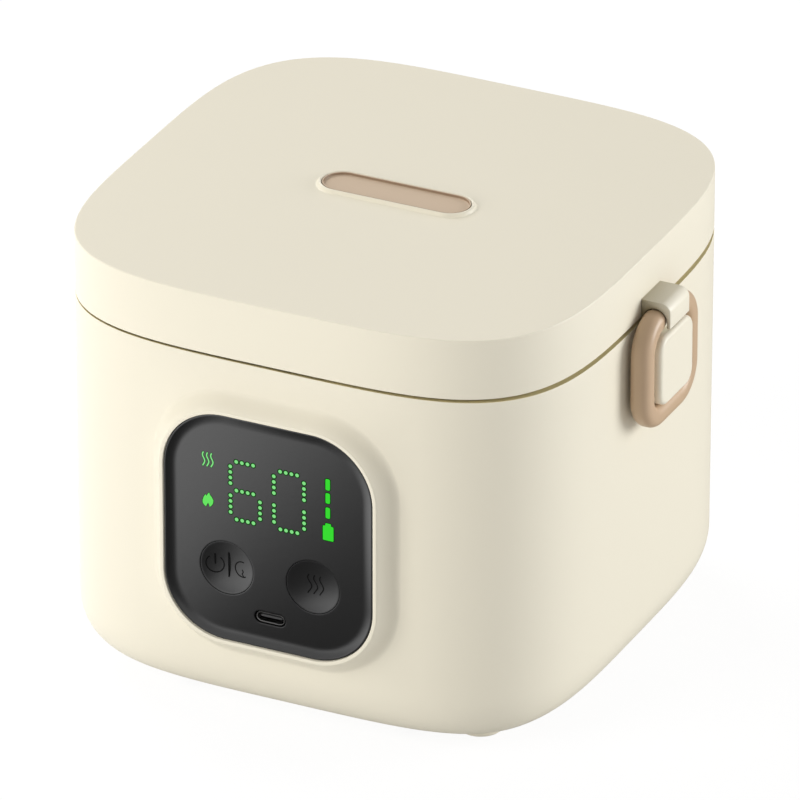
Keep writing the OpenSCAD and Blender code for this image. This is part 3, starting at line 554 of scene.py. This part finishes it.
def lit_group():
    """Shader group: from the panel's black through a green fringe to the lit colour."""
    group, start, end = shader_group("lit_window", {"Colour": "Color", "Fringe": "Color"},
                                     {"Panel": "Color", "Light": "Color"})
    nodes, links = group.nodes, group.links
    lit = nodes.new("ShaderNodeAttribute")
    lit.attribute_name = "glow"

    def spread(low, high):
        node = nodes.new("ShaderNodeMapRange")
        node.interpolation_type = "SMOOTHSTEP"
        node.inputs["From Min"].default_value, node.inputs["From Max"].default_value = low, high
        links.new(lit.outputs["Fac"], node.inputs["Value"])
        return node.outputs["Result"]

    def mixed(factor, a, b):
        node = nodes.new("ShaderNodeMix")
        node.data_type = "RGBA"
        links.new(factor, node.inputs["Factor"])
        for socket, value in zip(node.inputs[6:8], (a, b)):
            if isinstance(value, tuple):
                socket.default_value = value
            else:
                links.new(value, socket)
        return node.outputs[2]

    dark = (0, 0, 0, 1)
    fringe = mixed(spread(0, 0.75), dark, start.outputs["Fringe"])
    links.new(mixed(spread(0.7, 0.97), fringe, start.outputs["Colour"]), end.inputs["Light"])
    links.new(mixed(spread(0, 0.9), (0.006, 0.006, 0.0062, 1), dark), end.inputs["Panel"])
    return group


lit_window = lit_group()


def lit(name, colour, fringe):
    material = bpy.data.materials.new(name)
    material.use_nodes = True
    nodes, links = material.node_tree.nodes, material.node_tree.links
    shader = nodes["Principled BSDF"]
    shader.inputs["Specular IOR Level"].default_value = 0
    shader.inputs["Emission Strength"].default_value = 1
    window = nodes.new("ShaderNodeGroup")
    window.node_tree = lit_window
    window.inputs["Colour"].default_value = (*colour, 1)
    window.inputs["Fringe"].default_value = (*fringe, 1)
    links.new(window.outputs["Panel"], shader.inputs["Base Color"])
    links.new(window.outputs["Light"], shader.inputs["Emission Color"])
    return material


def lamp_shape(bm, glow, outline, x, z, fringe):
    """One lit shape: a lit face, a fringe round it and a short wall back into the panel."""
    n = len(outline)
    verts = bmesh.ops.create_circle(bm, cap_ends=True, segments=n, radius=1)["verts"]
    core = sorted(verts, key=lambda v: atan2(v.co.y, v.co.x) % (2 * pi))
    for v, (px, pz) in zip(core, outline):
        v.co = x + px, panel_y - 0.02, z + pz
        v[glow] = 1
    loop = list({e for v in core for e in v.link_edges})

    def key(co):
        return tuple(round(c, 5) for c in co)

    outward = {}
    for i, v in enumerate(core):
        p, q = Vector(outline[i - 1]), Vector(outline[(i + 1) % n])
        d = (q - p).normalized()
        outward[key(v.co)] = Vector((d.y, 0, -d.x))
    loop = drawn_out(bm, loop, lambda co: co + fringe * outward[key(co)] + Vector((0, 0.012, 0)))
    for v in {v for e in loop for v in e.verts}:
        v[glow] = 0
    loop = drawn_out(bm, loop, lambda co: Vector((co.x, panel_y + 0.2, co.z)))
    bmesh.ops.contextual_create(bm, geom=loop)


def oval(a, b, r, steps):
    return [(round_rect(t, a, b, r) * cos(t), round_rect(t, a, b, r) * sin(t))
            for t in (2 * pi * i / steps for i in range(steps))]


def ribbon(line, width):
    """The outline of a line of even width, with square ends."""
    left, right = [], []
    for i, p in enumerate(line):
        d = (Vector(line[min(i + 1, len(line) - 1)]) - Vector(line[max(i - 1, 0)])).normalized() * width / 2
        left.append((p[0] + d.y, p[1] - d.x))
        right.append((p[0] - d.y, p[1] + d.x))
    return left + right[::-1]


display_x, display_z = -0.96, -1.14


def display(name, shapes, material):
    bm = bmesh.new()
    glow = bm.verts.layers.float.new("glow")
    for outline, x, z, fringe in shapes:
        lamp_shape(bm, glow, outline, x + display_x, z + display_z, fringe)
    piece(name, bm, "housing", material)


pitch = 1.77
dot = oval(0.5, 0.5, 0.5, 14)
row = [pitch * (i - 1.5) for i in range(4)]
dots = []
for x in (-6.75, 7.05):
    dots += [(x + d, z) for d in row for z in (86.9, 68.5)]
dots += [(-6.75 + d, 77.75) for d in row]
dots += [(x, z + d) for x, z in ((-11.28, 82.4), (-11.28, 73.15), (-2.0, 73.0), (2.4, 82.3),
                                 (11.85, 82.2), (2.4, 73.1), (11.85, 73.0)) for d in row]
steam = [[(x - 0.35 * cos(pi * (z - 1.3) / 1.95), z) for z in (2.2 - 4.4 * i / 16 for i in range(17))]
         for x in (-1.3, 0, 1.3)]
flame = [(1.7, 0.2), (1.25, 1.1), (0.7, 1.7), (0.38, 2.45), (-0.05, 1.9), (-0.38, 1.2), (-0.77, 1.65),
         (-1.28, 0.75), (-1.63, -0.35), (-1.6, -1.1), (-1.25, -1.7), (-0.6, -2.13), (-0.35, -1.5),
         (0.05, -0.8), (0.42, -1.4), (0.58, -2.05), (1.28, -1.34), (1.62, -0.6)]
pale = [(dot, x, z, 0.4) for x, z in dots]
pale += [(ribbon(line, 0.36), -18.4, 85.65, 0.2) for line in steam]
display("display_pale_lights", pale, lit("lit_pale", (0.24, 0.76, 0.25), (0.004, 0.13, 0.008)))

bars = [(oval(0.66, h, 0.3, 32), 19.3, z, 0.3) for z, h in ((86.1, 1.75), (81.75, 1.6), (77.1, 1.7))]
battery = [(0.85, 2.45), (0.85, 3.05), (0.7, 3.2), (-0.7, 3.2), (-0.85, 3.05), (-0.85, 2.45),
           (-1.5, 2.35), (-1.62, 2.2), (-1.62, -2.0), (-1.45, -2.15), (1.45, -2.15), (1.62, -2.0),
           (1.62, 2.2), (1.5, 2.35)]
bars.append((battery, 19.4, 70.5, 0.3))
display("display_deep_lights", bars, lit("lit_bars", (0.042, 0.70, 0.034), (0.0, 0.09, 0.004)))
display("display_flame", [(flame, -18.45, 72.7, 0.2)],
        lit("lit_flame", (0.14, 0.78, 0.125), (0.0, 0.11, 0.006)))

# ---------------------------------------------------------------------------------------------
# Charging port: a drawn nickel-plated shell with a plastic tongue in it, soldered to the display
# board behind the panel's opening.


def metal_group():
    """Shader group: fine parallel brushing of sheet metal, with a slow drift in its shine."""
    group, start, end = shader_group(
        "brushed_metal", {"Colour": "Color", "Roughness": "Float", "Stretch": "Vector"}, skin_sockets)
    nodes, links = group.nodes, group.links
    where = nodes.new("ShaderNodeTexCoord")
    stretch = nodes.new("ShaderNodeVectorMath")
    stretch.operation = "MULTIPLY"
    links.new(where.outputs["Object"], stretch.inputs[0])
    links.new(start.outputs["Stretch"], stretch.inputs[1])
    lines = nodes.new("ShaderNodeTexNoise")
    lines.inputs["Scale"].default_value = 1
    lines.inputs["Detail"].default_value = 3
    links.new(stretch.outputs["Vector"], lines.inputs["Vector"])
    drift = nodes.new("ShaderNodeTexNoise")
    drift.inputs["Scale"].default_value = 14
    links.new(where.outputs["Object"], drift.inputs["Vector"])

    math = maths(nodes, links)
    tint = nodes.new("ShaderNodeHueSaturation")
    links.new(start.outputs["Colour"], tint.inputs["Color"])
    links.new(math("ADD", math("MULTIPLY", math("SUBTRACT", lines.outputs["Fac"], 0.5), 0.16), 1),
              tint.inputs["Value"])
    links.new(tint.outputs["Color"], end.inputs["Colour"])
    uneven = math("ADD", math("MULTIPLY", lines.outputs["Fac"], 0.14),
                  math("MULTIPLY", drift.outputs["Fac"], 0.1))
    links.new(math("ADD", start.outputs["Roughness"], math("SUBTRACT", uneven, 0.12)),
              end.inputs["Roughness"])
    links.new(lines.outputs["Fac"], end.inputs["Height"])
    return group


brushed_metal = metal_group()


def metal(name, colour, roughness, stretch=(30, 30, 2500), bump=0.05):
    material, shader = skinned(name, brushed_metal, {"Colour": (*colour, 1), "Roughness": roughness,
                                                     "Stretch": stretch}, bump, 0.0001)
    shader.inputs["Metallic"].default_value = 1
    return material


nickel = metal("nickel_plate", (0.30, 0.295, 0.29), 0.35, (300, 300, 300))
dark_plastic = plastic("dark_plastic", (0.022, 0.022, 0.023), 0.55, grain=1200)
a, b, mouth_y, board_y = 4.47, 1.63, -82.8, -75.3
port = bmesh.new()
loop = ring_at(port, 48, rect_ring(a - 0.3, b - 0.3, b - 0.3, 0, port_z, board_y - 1))
bmesh.ops.contextual_create(port, geom=loop)
for grow, y in ((-0.3, mouth_y + 0.1), (-0.22, mouth_y), (-0.08, mouth_y), (0, mouth_y + 0.1),
                (0, board_y)):
    loop = drawn_out(port, loop, moved_ring(a + grow, b + grow, b + grow, 0, port_z, y))
bmesh.ops.contextual_create(port, geom=loop)
piece("usb_c_shell", port, "housing", nickel, ["usb_c_receptacle"])
tongue = bmesh.new()
bmesh.ops.create_cube(tongue, size=1)
bmesh.ops.scale(tongue, verts=tongue.verts, vec=(6.7, 5.7, 0.7))
bmesh.ops.translate(tongue, verts=tongue.verts, vec=(0, -79.15, port_z))
bmesh.ops.bevel(tongue, geom=tongue.edges[:], offset=0.18, segments=3, affect="EDGES", profile=0.5,
                material=-1)
grey_plastic = plastic("port_tongue", (0.055, 0.055, 0.057), 0.5, grain=1500)
piece("usb_c_tongue", tongue, "housing", grey_plastic)

# ---------------------------------------------------------------------------------------------
# Feet: four round pads of the shell's plastic with a turned edge, pressed into the base plate.
foot_step = 51.2
for name, x, y in (("foot_front_left", -1, -1), ("foot_front_right", 1, -1), ("foot_rear_left", -1, 1),
                   ("foot_rear_right", 1, 1)):
    foot = bmesh.new()
    outline = [(0, 3.3), (6.8, 3.3), (6.8, 0.1), (6.62, -0.35), (6.25, -0.68), (5.8, -0.8), (4.4, -0.8),
               (4.1, -0.65), (0, -0.65)]
    verts = [foot.verts.new((r, 0, z)) for r, z in outline]
    edges = [foot.edges.new(pair) for pair in zip(verts, verts[1:])]
    bmesh.ops.spin(foot, geom=verts + edges, cent=(0, 0, 0), axis=(0, 0, 1), angle=2 * pi, steps=64,
                   use_merge=True)
    bmesh.ops.translate(foot, verts=foot.verts, vec=(x * foot_step, y * foot_step, 0))
    piece(name + "_pad", foot, "housing", cream, [name])

# ---------------------------------------------------------------------------------------------
# Well: a cream top ring clipped under the shell's rim carries the pressed steel liner. The food
# container, also of brushed steel, hangs in it by its rim and lifts out.
steel = metal("brushed_steel", (0.62, 0.61, 0.59), 0.3)
top_ring = arc(3.1, 113.0, 0.4, 0, 90, 4) + arc(10.6, 113.0, -0.4, -90, 0, 4)
top_ring += arc(10.6, 109.8, -0.4, 0, 90, 4) + arc(3.1, 109.8, 0.4, -90, 0, 4)
piece("well_ring", to_outline(spun(top_ring)), "housing", cream, ["top_ring"])
liner = [(half_width, 34)] + [(i, 34) for i in (70, 60, 45, 30)] + arc(20.6, 43.4, 9.4, -90, 0, 12)
liner += [(11.2, z) for z in (60, 80, 100, 112.9)] + arc(10.9, 113.1, -0.3, 0, 90, 3)
liner += [(4.1, 113.4), (4, 113.5), (4, 113.9), (4.1, 114)] + arc(10.9, 113.1, -0.9, 90, 0, 5)
liner += [(11.8, z) for z in (112, 100, 80, 60)] + arc(20.6, 43.4, 8.8, 0, -90, 12)
liner += [(i, 34.6) for i in (30, 45, 60, 70, half_width)]
piece("well_liner", to_outline(spun(liner, closed=False)), "housing", steel, ["inner_liner"])
pot = [(half_width, 34.9)] + [(i, 34.9) for i in (70, 60, 45, 30)] + arc(20.6, 42.9, 8, -90, 0, 12)
pot += [(12.6, z) for z in (60, 80, 100, 113.4)] + arc(11.9, 113.6, -0.7, 0, 90, 4)
pot += arc(6.5, 114.8, 0.5, -90, 90, 8) + arc(11.7, 113.8, -1.5, 90, 0, 6)
pot += [(13.2, z) for z in (112, 100, 80, 60)] + arc(20.6, 42.9, 7.4, 0, -90, 12)
pot += [(i, 35.5) for i in (30, 45, 60, 70, half_width)]
piece("food_pot", to_outline(spun(pot, closed=False)), "pot", steel, ["food_container"])

# ---------------------------------------------------------------------------------------------
# Latch pads: a cream block on each side wall that fills the loop, with a knuckle on top that
# carries the loop's hinge neck. Screwed on from inside the shell.
wall_x, pivot_x, pivot_z, loop_z = half_width, 84.4, 116.2, 101.4


def side_place(a, b, r, x):
    def place(co):
        angle = atan2(co.z - loop_z, co.y)
        t = round_rect(angle, a, b, r)
        return Vector((x, t * cos(angle), loop_z + t * sin(angle)))
    return place


def round_place(r, y):
    """Place a loop on a circle about the loop's hinge axis."""
    def place(co):
        t = atan2(co.z - pivot_z, co.x - pivot_x)
        return Vector((pivot_x + r * cos(t), y, pivot_z + r * sin(t)))
    return place


def on_side(bm, side):
    if side < 0:
        bmesh.ops.scale(bm, verts=bm.verts, vec=(-1, 1, 1))
    return bm


for name, side in (("right", 1), ("left", -1)):
    pad = bmesh.new()
    a, b, r, pad_x, edge = 11.1, 11.0, 4.8, 88.66, 1.4
    first = side_place(a, b, r, wall_x)
    loop = ring_at(pad, 96, lambda t: first(Vector((0, cos(t), loop_z + sin(t)))))
    bmesh.ops.contextual_create(pad, geom=loop)
    loop = drawn_out(pad, loop, side_place(a, b, r, pad_x - edge - 0.2))
    for i in range(7):
        t = radians(15 * i)
        o = edge * (1 - cos(t))
        loop = drawn_out(pad, loop, side_place(a - o, b - o, r - o, pad_x - edge * (1 - sin(t))))
    loop = drawn_out(pad, loop, side_place(a - edge - 0.3, b - edge - 0.3, r - edge - 0.3, pad_x))
    bmesh.ops.contextual_create(pad, geom=loop)
    bore = round_place(1.65, -5.4)
    loop = start = ring_at(pad, 32, lambda t: bore(Vector((pivot_x + cos(t), 0, pivot_z + sin(t)))))
    for r, y in ((2.6, -5.4), (2.81, -5.31), (2.9, -5.1), (2.9, 5.1), (2.81, 5.31), (2.6, 5.4),
                 (1.65, 5.4)):
        loop = drawn_out(pad, loop, round_place(r, y))
    bmesh.ops.bridge_loops(pad, edges=loop + start)
    web = bmesh.ops.create_cube(pad, size=1)["verts"]
    bmesh.ops.scale(pad, verts=web, vec=(3.9, 10.8, 4.4))
    bmesh.ops.translate(pad, verts=web, vec=(83.65, 0, 112.6))
    piece("latch_pad_" + name, on_side(pad, side), "housing", cream,
          ["latch_mount_" + name])

# ---------------------------------------------------------------------------------------------
# Loops: tan nylon, moulded in one. A rounded square bar runs round the pad and thins to a neck that
# turns in the pad's knuckle; the hook on the lid reaches over its top.
tan_plastic = plastic("tan_nylon", (0.56, 0.40, 0.26), 0.38, grain=800, bump=0.04, cloud=0.03)
half_y, half_z, bend, bar = 14.9, 14.8, 8.3, 3.2
for name, side in (("right", 1), ("left", -1)):
    ring = bmesh.new()
    corners = [ring.verts.new((pivot_x + p, half_y - bend, pivot_z + q)) for p, q in
               ((-bar, -bar), (bar, -bar), (bar, bar), (-bar, bar))]
    ring.faces.new(corners)
    bmesh.ops.bevel(ring, geom=ring.verts[:], offset=2.6, segments=7, affect="VERTICES", profile=0.5,
                    material=-1)
    bmesh.ops.delete(ring, geom=ring.faces[:], context="FACES_ONLY")
    start = loop = ring.edges[:]

    def swept(loop, cy, cz):
        out = bmesh.ops.spin(ring, geom=loop, cent=(0, cy, cz), axis=(1, 0, 0), angle=-pi / 2, steps=14)
        return [g for g in out["geom_last"] if isinstance(g, bmesh.types.BMEdge)]

    for cy, cz, y, z in ((half_y - bend, half_z - bend, 0, -2 * (half_z - bend)),
                         (half_y - bend, bend - half_z, -2 * (half_y - bend), 0),
                         (bend - half_y, bend - half_z, 0, 2 * (half_z - bend)),
                         (bend - half_y, half_z - bend, 0, 0)):
        loop = swept(loop, cy, loop_z + cz)
        if y or z:
            for _ in range(4):
                loop = drawn_out(ring, loop, lambda co: co + Vector((0, y / 4, z / 4)))

    for r, y in ((3.1, 6.5), (3.1, 5.9), (3.0, 5.8), (1.6, 5.8), (1.6, 0)):
        start = drawn_out(ring, start, round_place(r, y))
        loop = drawn_out(ring, loop, round_place(r, -y))
    piece("loop_" + name, on_side(ring, side), "ring_" + name, tan_plastic, ["ring_" + name])

# ---------------------------------------------------------------------------------------------
# Lid: the same cream plastic, flat on top with a crisp edge, and a raised bead round the badge. The
# top is drawn in loop by loop from the box's outline to the badge's, so that it is one skin.
lid_top, lid_under, lid_low = 134.8, 132.3, 116.3
lid_profile = [(22, lid_top), (10, lid_top), (0.8, lid_top)] + arc(0.4, lid_top - 0.4, 0.4, 90, 0, 5)
lid_profile += [(0, 120), (0, 116.5)] + arc(0.12, lid_low + 0.12, 0.12, 0, -90, 2)
lid_profile += [(0.5, lid_low), (2.3, lid_low), (2.5, 116.5), (2.5, 131.8)]
lid_profile += arc(3.5, 131.3, -1, 180, 90, 4)[1:]
lid_profile += [(22, lid_under), (50, lid_under), (half_width, lid_under)]
lid = spun(lid_profile, closed=False)
top_loop = [e for e in lid.edges if e.is_boundary and e.verts[0].co.z > 134]
to_outline(lid)


def flat_place(a, b, r, z, share=1.0):
    """Towards a flat rounded rectangle about the middle; share 1 is on it."""
    def place(co):
        angle = atan2(co.y, co.x)
        t = hypot(co.x, co.y) * (1 - share) + round_rect(angle, a, b, r) * share
        return Vector((t * cos(angle), t * sin(angle), z))
    return place


loop = top_loop
for share in (0.25, 0.5, 0.8):
    loop = drawn_out(lid, loop, flat_place(27, 9.7, 9.7, lid_top, share))
for grow, z in ((0.3, lid_top), (0.1, 134.83), (-0.1, 134.95), (-0.27, 135.25), (-0.47, 135.65),
                (-0.7, 135.9), (-0.95, 136), (-1.2, 135.97), (-1.4, 135.85), (-1.52, 135.6),
                (-1.55, 134.9), (-1.9, lid_top)):
    loop = drawn_out(lid, loop, flat_place(24.7 + grow, 7.3 + grow * 0.74, 7.3 + grow * 0.74, z))
bmesh.ops.contextual_create(lid, geom=loop)
piece("lid_skin", lid, "lid", cream, ["lid_shell"])

# ---------------------------------------------------------------------------------------------
# Badge: a bare tan inlay, a shallow moulded tray glued into the bead in the middle of the lid. Its
# upright walls are painted a deeper brown than its floor: painted shade.


def painted_shade_group():
    """Shader group for painted shade: a colour turns to a darker one where a value falls from high to low.
    """
    group, start, end = shader_group(
        "painted_shade", {"Colour": "Color", "Dark": "Color", "Value": "Float", "Low": "Float", "High": "Float"},
        {"Colour": "Color"})
    nodes, links = group.nodes, group.links
    fade = nodes.new("ShaderNodeMapRange")
    mixed = nodes.new("ShaderNodeMix")
    mixed.data_type = "RGBA"
    for source, target in (("Value", fade.inputs["Value"]), ("Low", fade.inputs["From Min"]),
                           ("High", fade.inputs["From Max"]), ("Dark", mixed.inputs[6]),
                           ("Colour", mixed.inputs[7])):
        links.new(start.outputs[source], target)
    links.new(fade.outputs["Result"], mixed.inputs["Factor"])
    links.new(mixed.outputs[2], end.inputs["Colour"])
    return group


painted_shade = painted_shade_group()


def paint_shade(material, value, dark, low, high):
    """Put painted shade between a plastic's skin and its shader; value is the socket it follows."""
    nodes, links = material.node_tree.nodes, material.node_tree.links
    shade_node = nodes.new("ShaderNodeGroup")
    shade_node.node_tree = painted_shade
    shade_node.inputs["Dark"].default_value = (*dark, 1)
    shade_node.inputs["Low"].default_value, shade_node.inputs["High"].default_value = low, high
    links.new(value, shade_node.inputs["Value"])
    base = nodes["Principled BSDF"].inputs["Base Color"]
    links.new(base.links[0].from_socket, shade_node.inputs["Colour"])
    links.new(shade_node.outputs["Colour"], base)


badge = bmesh.new()
place = flat_place(23, 6, 6, 134.9)
loop = ring_at(badge, 160, lambda t: place(Vector((cos(t), sin(t), 0))))
bmesh.ops.contextual_create(badge, geom=loop)
for grow, z in ((0, 135.7), (-0.05, 135.8), (-0.15, 135.85), (-0.27, 135.85), (-0.37, 135.8),
                (-0.43, 135.7), (-0.47, 135.2), (-0.55, 135.08), (-0.7, 135.03), (-1, 135.02)):
    loop = drawn_out(badge, loop, flat_place(23 + grow, 6 + grow, 6 + grow, z))
bmesh.ops.contextual_create(badge, geom=loop)
badge_tan = plastic("badge_tan", (0.60, 0.465, 0.335), 0.5, grain=1100, bump=0.05)
nodes, links = badge_tan.node_tree.nodes, badge_tan.node_tree.links
tilt = nodes.new("ShaderNodeSeparateXYZ")
links.new(nodes.new("ShaderNodeNewGeometry").outputs["True Normal"], tilt.inputs[0])
# painted shade: the tray's upright walls, found by their true normal, turn a darker brown
paint_shade(badge_tan, tilt.outputs["Z"], (0.27, 0.18, 0.11), 0.4, 0.9)
piece("badge_inlay", badge, "lid", badge_tan, ["lid_badge"])

# ---------------------------------------------------------------------------------------------
# Hooks: a cream lug on each side of the lid whose flap hangs over the loop's top bar. Moulded with
# the lid. Their colour is painted darker in corners from ambient occlusion: painted shade.
cream_hook_painted_shade = plastic("cream_hook_painted_shade", (0.835, 0.785, 0.645), 0.42, bump=0.05, cloud=0.015)
# painted shade: ambient occlusion within 14 mm darkens the hook's cream towards olive brown
nook = cream_hook_painted_shade.node_tree.nodes.new("ShaderNodeAmbientOcclusion")
nook.inputs["Distance"].default_value = 0.014
paint_shade(cream_hook_painted_shade, nook.outputs["AO"], (0.24, 0.195, 0.10), 0.25, 0.95)
half, slot_r, flap_z, hook_x, hook_top = 6.6, 3.6, 114.3, 89.15, 122.05
for name, side in (("right", 1), ("left", -1)):
    hook = bmesh.new()
    turns = [radians(175 - 175 * i / 16) for i in range(17)]
    slot = [(pivot_x + slot_r * cos(t), pivot_z + slot_r * sin(t)) for t in turns]
    outline = [(wall_x, 116.51)] + slot + [(88, flap_z), (hook_x, flap_z), (hook_x, hook_top),
                                           (wall_x, hook_top)]
    verts = [hook.verts.new((x, -half, z)) for x, z in outline]
    hook.faces.new(verts)
    bmesh.ops.bevel(hook, geom=[verts[-2]], offset=3, segments=10, affect="VERTICES", profile=0.5,
                    material=-1)
    out = bmesh.ops.extrude_face_region(hook, geom=hook.faces[:], use_keep_orig=True)["geom"]
    bmesh.ops.translate(hook, verts=[g for g in out if isinstance(g, bmesh.types.BMVert)],
                        vec=(0, 2 * half, 0))
    hook.normal_update()
    ends = [e for e in hook.edges if all(abs(v.co.y) > half - 0.01 for v in e.verts)
            and abs(e.verts[0].co.y - e.verts[1].co.y) < 0.01]
    flap = [e for e in hook.edges if e not in ends and e.verts[0].co.z < flap_z + 0.1]
    bmesh.ops.bevel(hook, geom=ends + flap, offset=0.3, segments=3, affect="EDGES", profile=0.5,
                    material=-1)
    piece("hook_" + name, on_side(hook, side), "lid", cream_hook_painted_shade, ["lid_hook_" + name])

# ---------------------------------------------------------------------------------------------
# Lid inside: a white plate with two ribs that hold the silicone gasket, screwed to the lid.
white_plastic = plastic("white_moulding", (0.80, 0.80, 0.775), 0.4)
silicone = plastic("silicone", (0.66, 0.66, 0.635), 0.6, grain=500, bump=0.02)
plate_z = 118.1
plate = [(half_width, plate_z), (40, plate_z), (10.8, plate_z)] + arc(10.5, 116.8, 0.2, 180, 270, 2)
plate += arc(9.9, 116.8, 0.2, 270, 360, 2) + [(9.7, plate_z), (6.3, plate_z)]
plate += arc(6.1, 116.8, 0.2, 180, 270, 2) + arc(5.5, 116.8, 0.2, 270, 360, 2)
plate += [(5.3, plate_z)] + arc(3.3, 118.4, 0.3, 270, 360, 3)
plate += arc(3.3, 119.8, 0.3, 0, 90, 3) + [(40, 120.1), (half_width, 120.1)]
piece("lid_plate", to_outline(spun(plate, closed=False)), "lid", white_plastic,
      ["lid_liner"])
gasket = [(6.5, plate_z), (6.5, 116.4)] + arc(7.0, 116.1, 0.5, 0, -90, 4)
gasket += arc(9.0, 116.1, 0.5, -90, -180, 4) + [(9.5, plate_z)]
piece("seal_ring", to_outline(spun(gasket)), "lid", silicone, ["lid_gasket"])

# ---------------------------------------------------------------------------------------------
# Base plate and screws: as the solids have them, merged and with their sharp edges just broken.
screw_steel = metal("screw_steel", (0.52, 0.52, 0.53), 0.28, (400, 400, 400))


def broken_edges(name, node, body, material, width):
    bm = bmesh.new()
    bm.from_mesh(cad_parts[node].data)
    bmesh.ops.scale(bm, verts=bm.verts, vec=(1000, 1000, 1000))
    bmesh.ops.translate(bm, verts=bm.verts, vec=-row_origin)
    bmesh.ops.remove_doubles(bm, verts=bm.verts, dist=0.001)
    bmesh.ops.dissolve_limit(bm, angle_limit=radians(1), verts=bm.verts, edges=bm.edges)
    obj = piece(name, bm, body, material, [node])
    bevel = obj.modifiers.new("broken_edges", "BEVEL")
    bevel.width, bevel.segments, bevel.limit_method, bevel.angle_limit = width, 2, "ANGLE", radians(40)
    return obj


broken_edges("bottom_plate", "base_plate", "housing", cream, 0.0003)
broken_edges("bottom_screws", "base_screws", "housing", screw_steel, 0.0001)
broken_edges("lid_plate_screws", "lid_screws", "lid", screw_steel, 0.0001)

# ---------------------------------------------------------------------------------------------
# Inner works: the solids stay as they are, sealed inside, each in its own finish.
finishes = {
    "insulation_sleeve": plastic("melamine_foam", (0.70, 0.68, 0.62), 0.9, grain=350, bump=0.5, cloud=0.15),
    "heating_plate": metal("heating_aluminium", (0.75, 0.75, 0.77), 0.35),
    "heater_film": plastic("heater_foil", (0.42, 0.16, 0.03), 0.35, grain=400, cloud=0.15),
    "thermal_fuse": dark_plastic,
    "heater_leads": plastic("lead_red", (0.42, 0.02, 0.015), 0.45, grain=600),
    "cell_1": plastic("cell_wrap", (0.03, 0.12, 0.36), 0.3, grain=300, cloud=0.06),
    "nickel_strips": metal("nickel_strip", (0.60, 0.58, 0.54), 0.3),
    "power_board": plastic("circuit_green", (0.012, 0.10, 0.035), 0.35, grain=250, cloud=0.2, bump=0.1),
    "power_inductor": metal("copper_coil", (0.80, 0.42, 0.22), 0.35, (40, 40, 1400)),
    "ribbon_cable": plastic("ribbon_foil", (0.55, 0.27, 0.06), 0.35, grain=500),
    "display_leds": plastic("led_green", (0.10, 0.62, 0.14), 0.3, grain=900),
    "power_board_screws": screw_steel,
}
same = {
    "insulation_sleeve": ["insulation_pad"],
    "thermal_fuse": ["battery_holder", "light_guide", "display_film", "tact_switches", "power_chips",
                     "power_capacitors"],
    "cell_1": ["cell_2", "cell_3", "cell_4"],
    "power_board": ["display_board"],
    "power_board_screws": ["display_board_screws", "latch_screws"],
}
for node, material in finishes.items():
    for name in [node] + same.get(node, []):
        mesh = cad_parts[name].data
        mesh.materials.clear()
        mesh.materials.append(material)
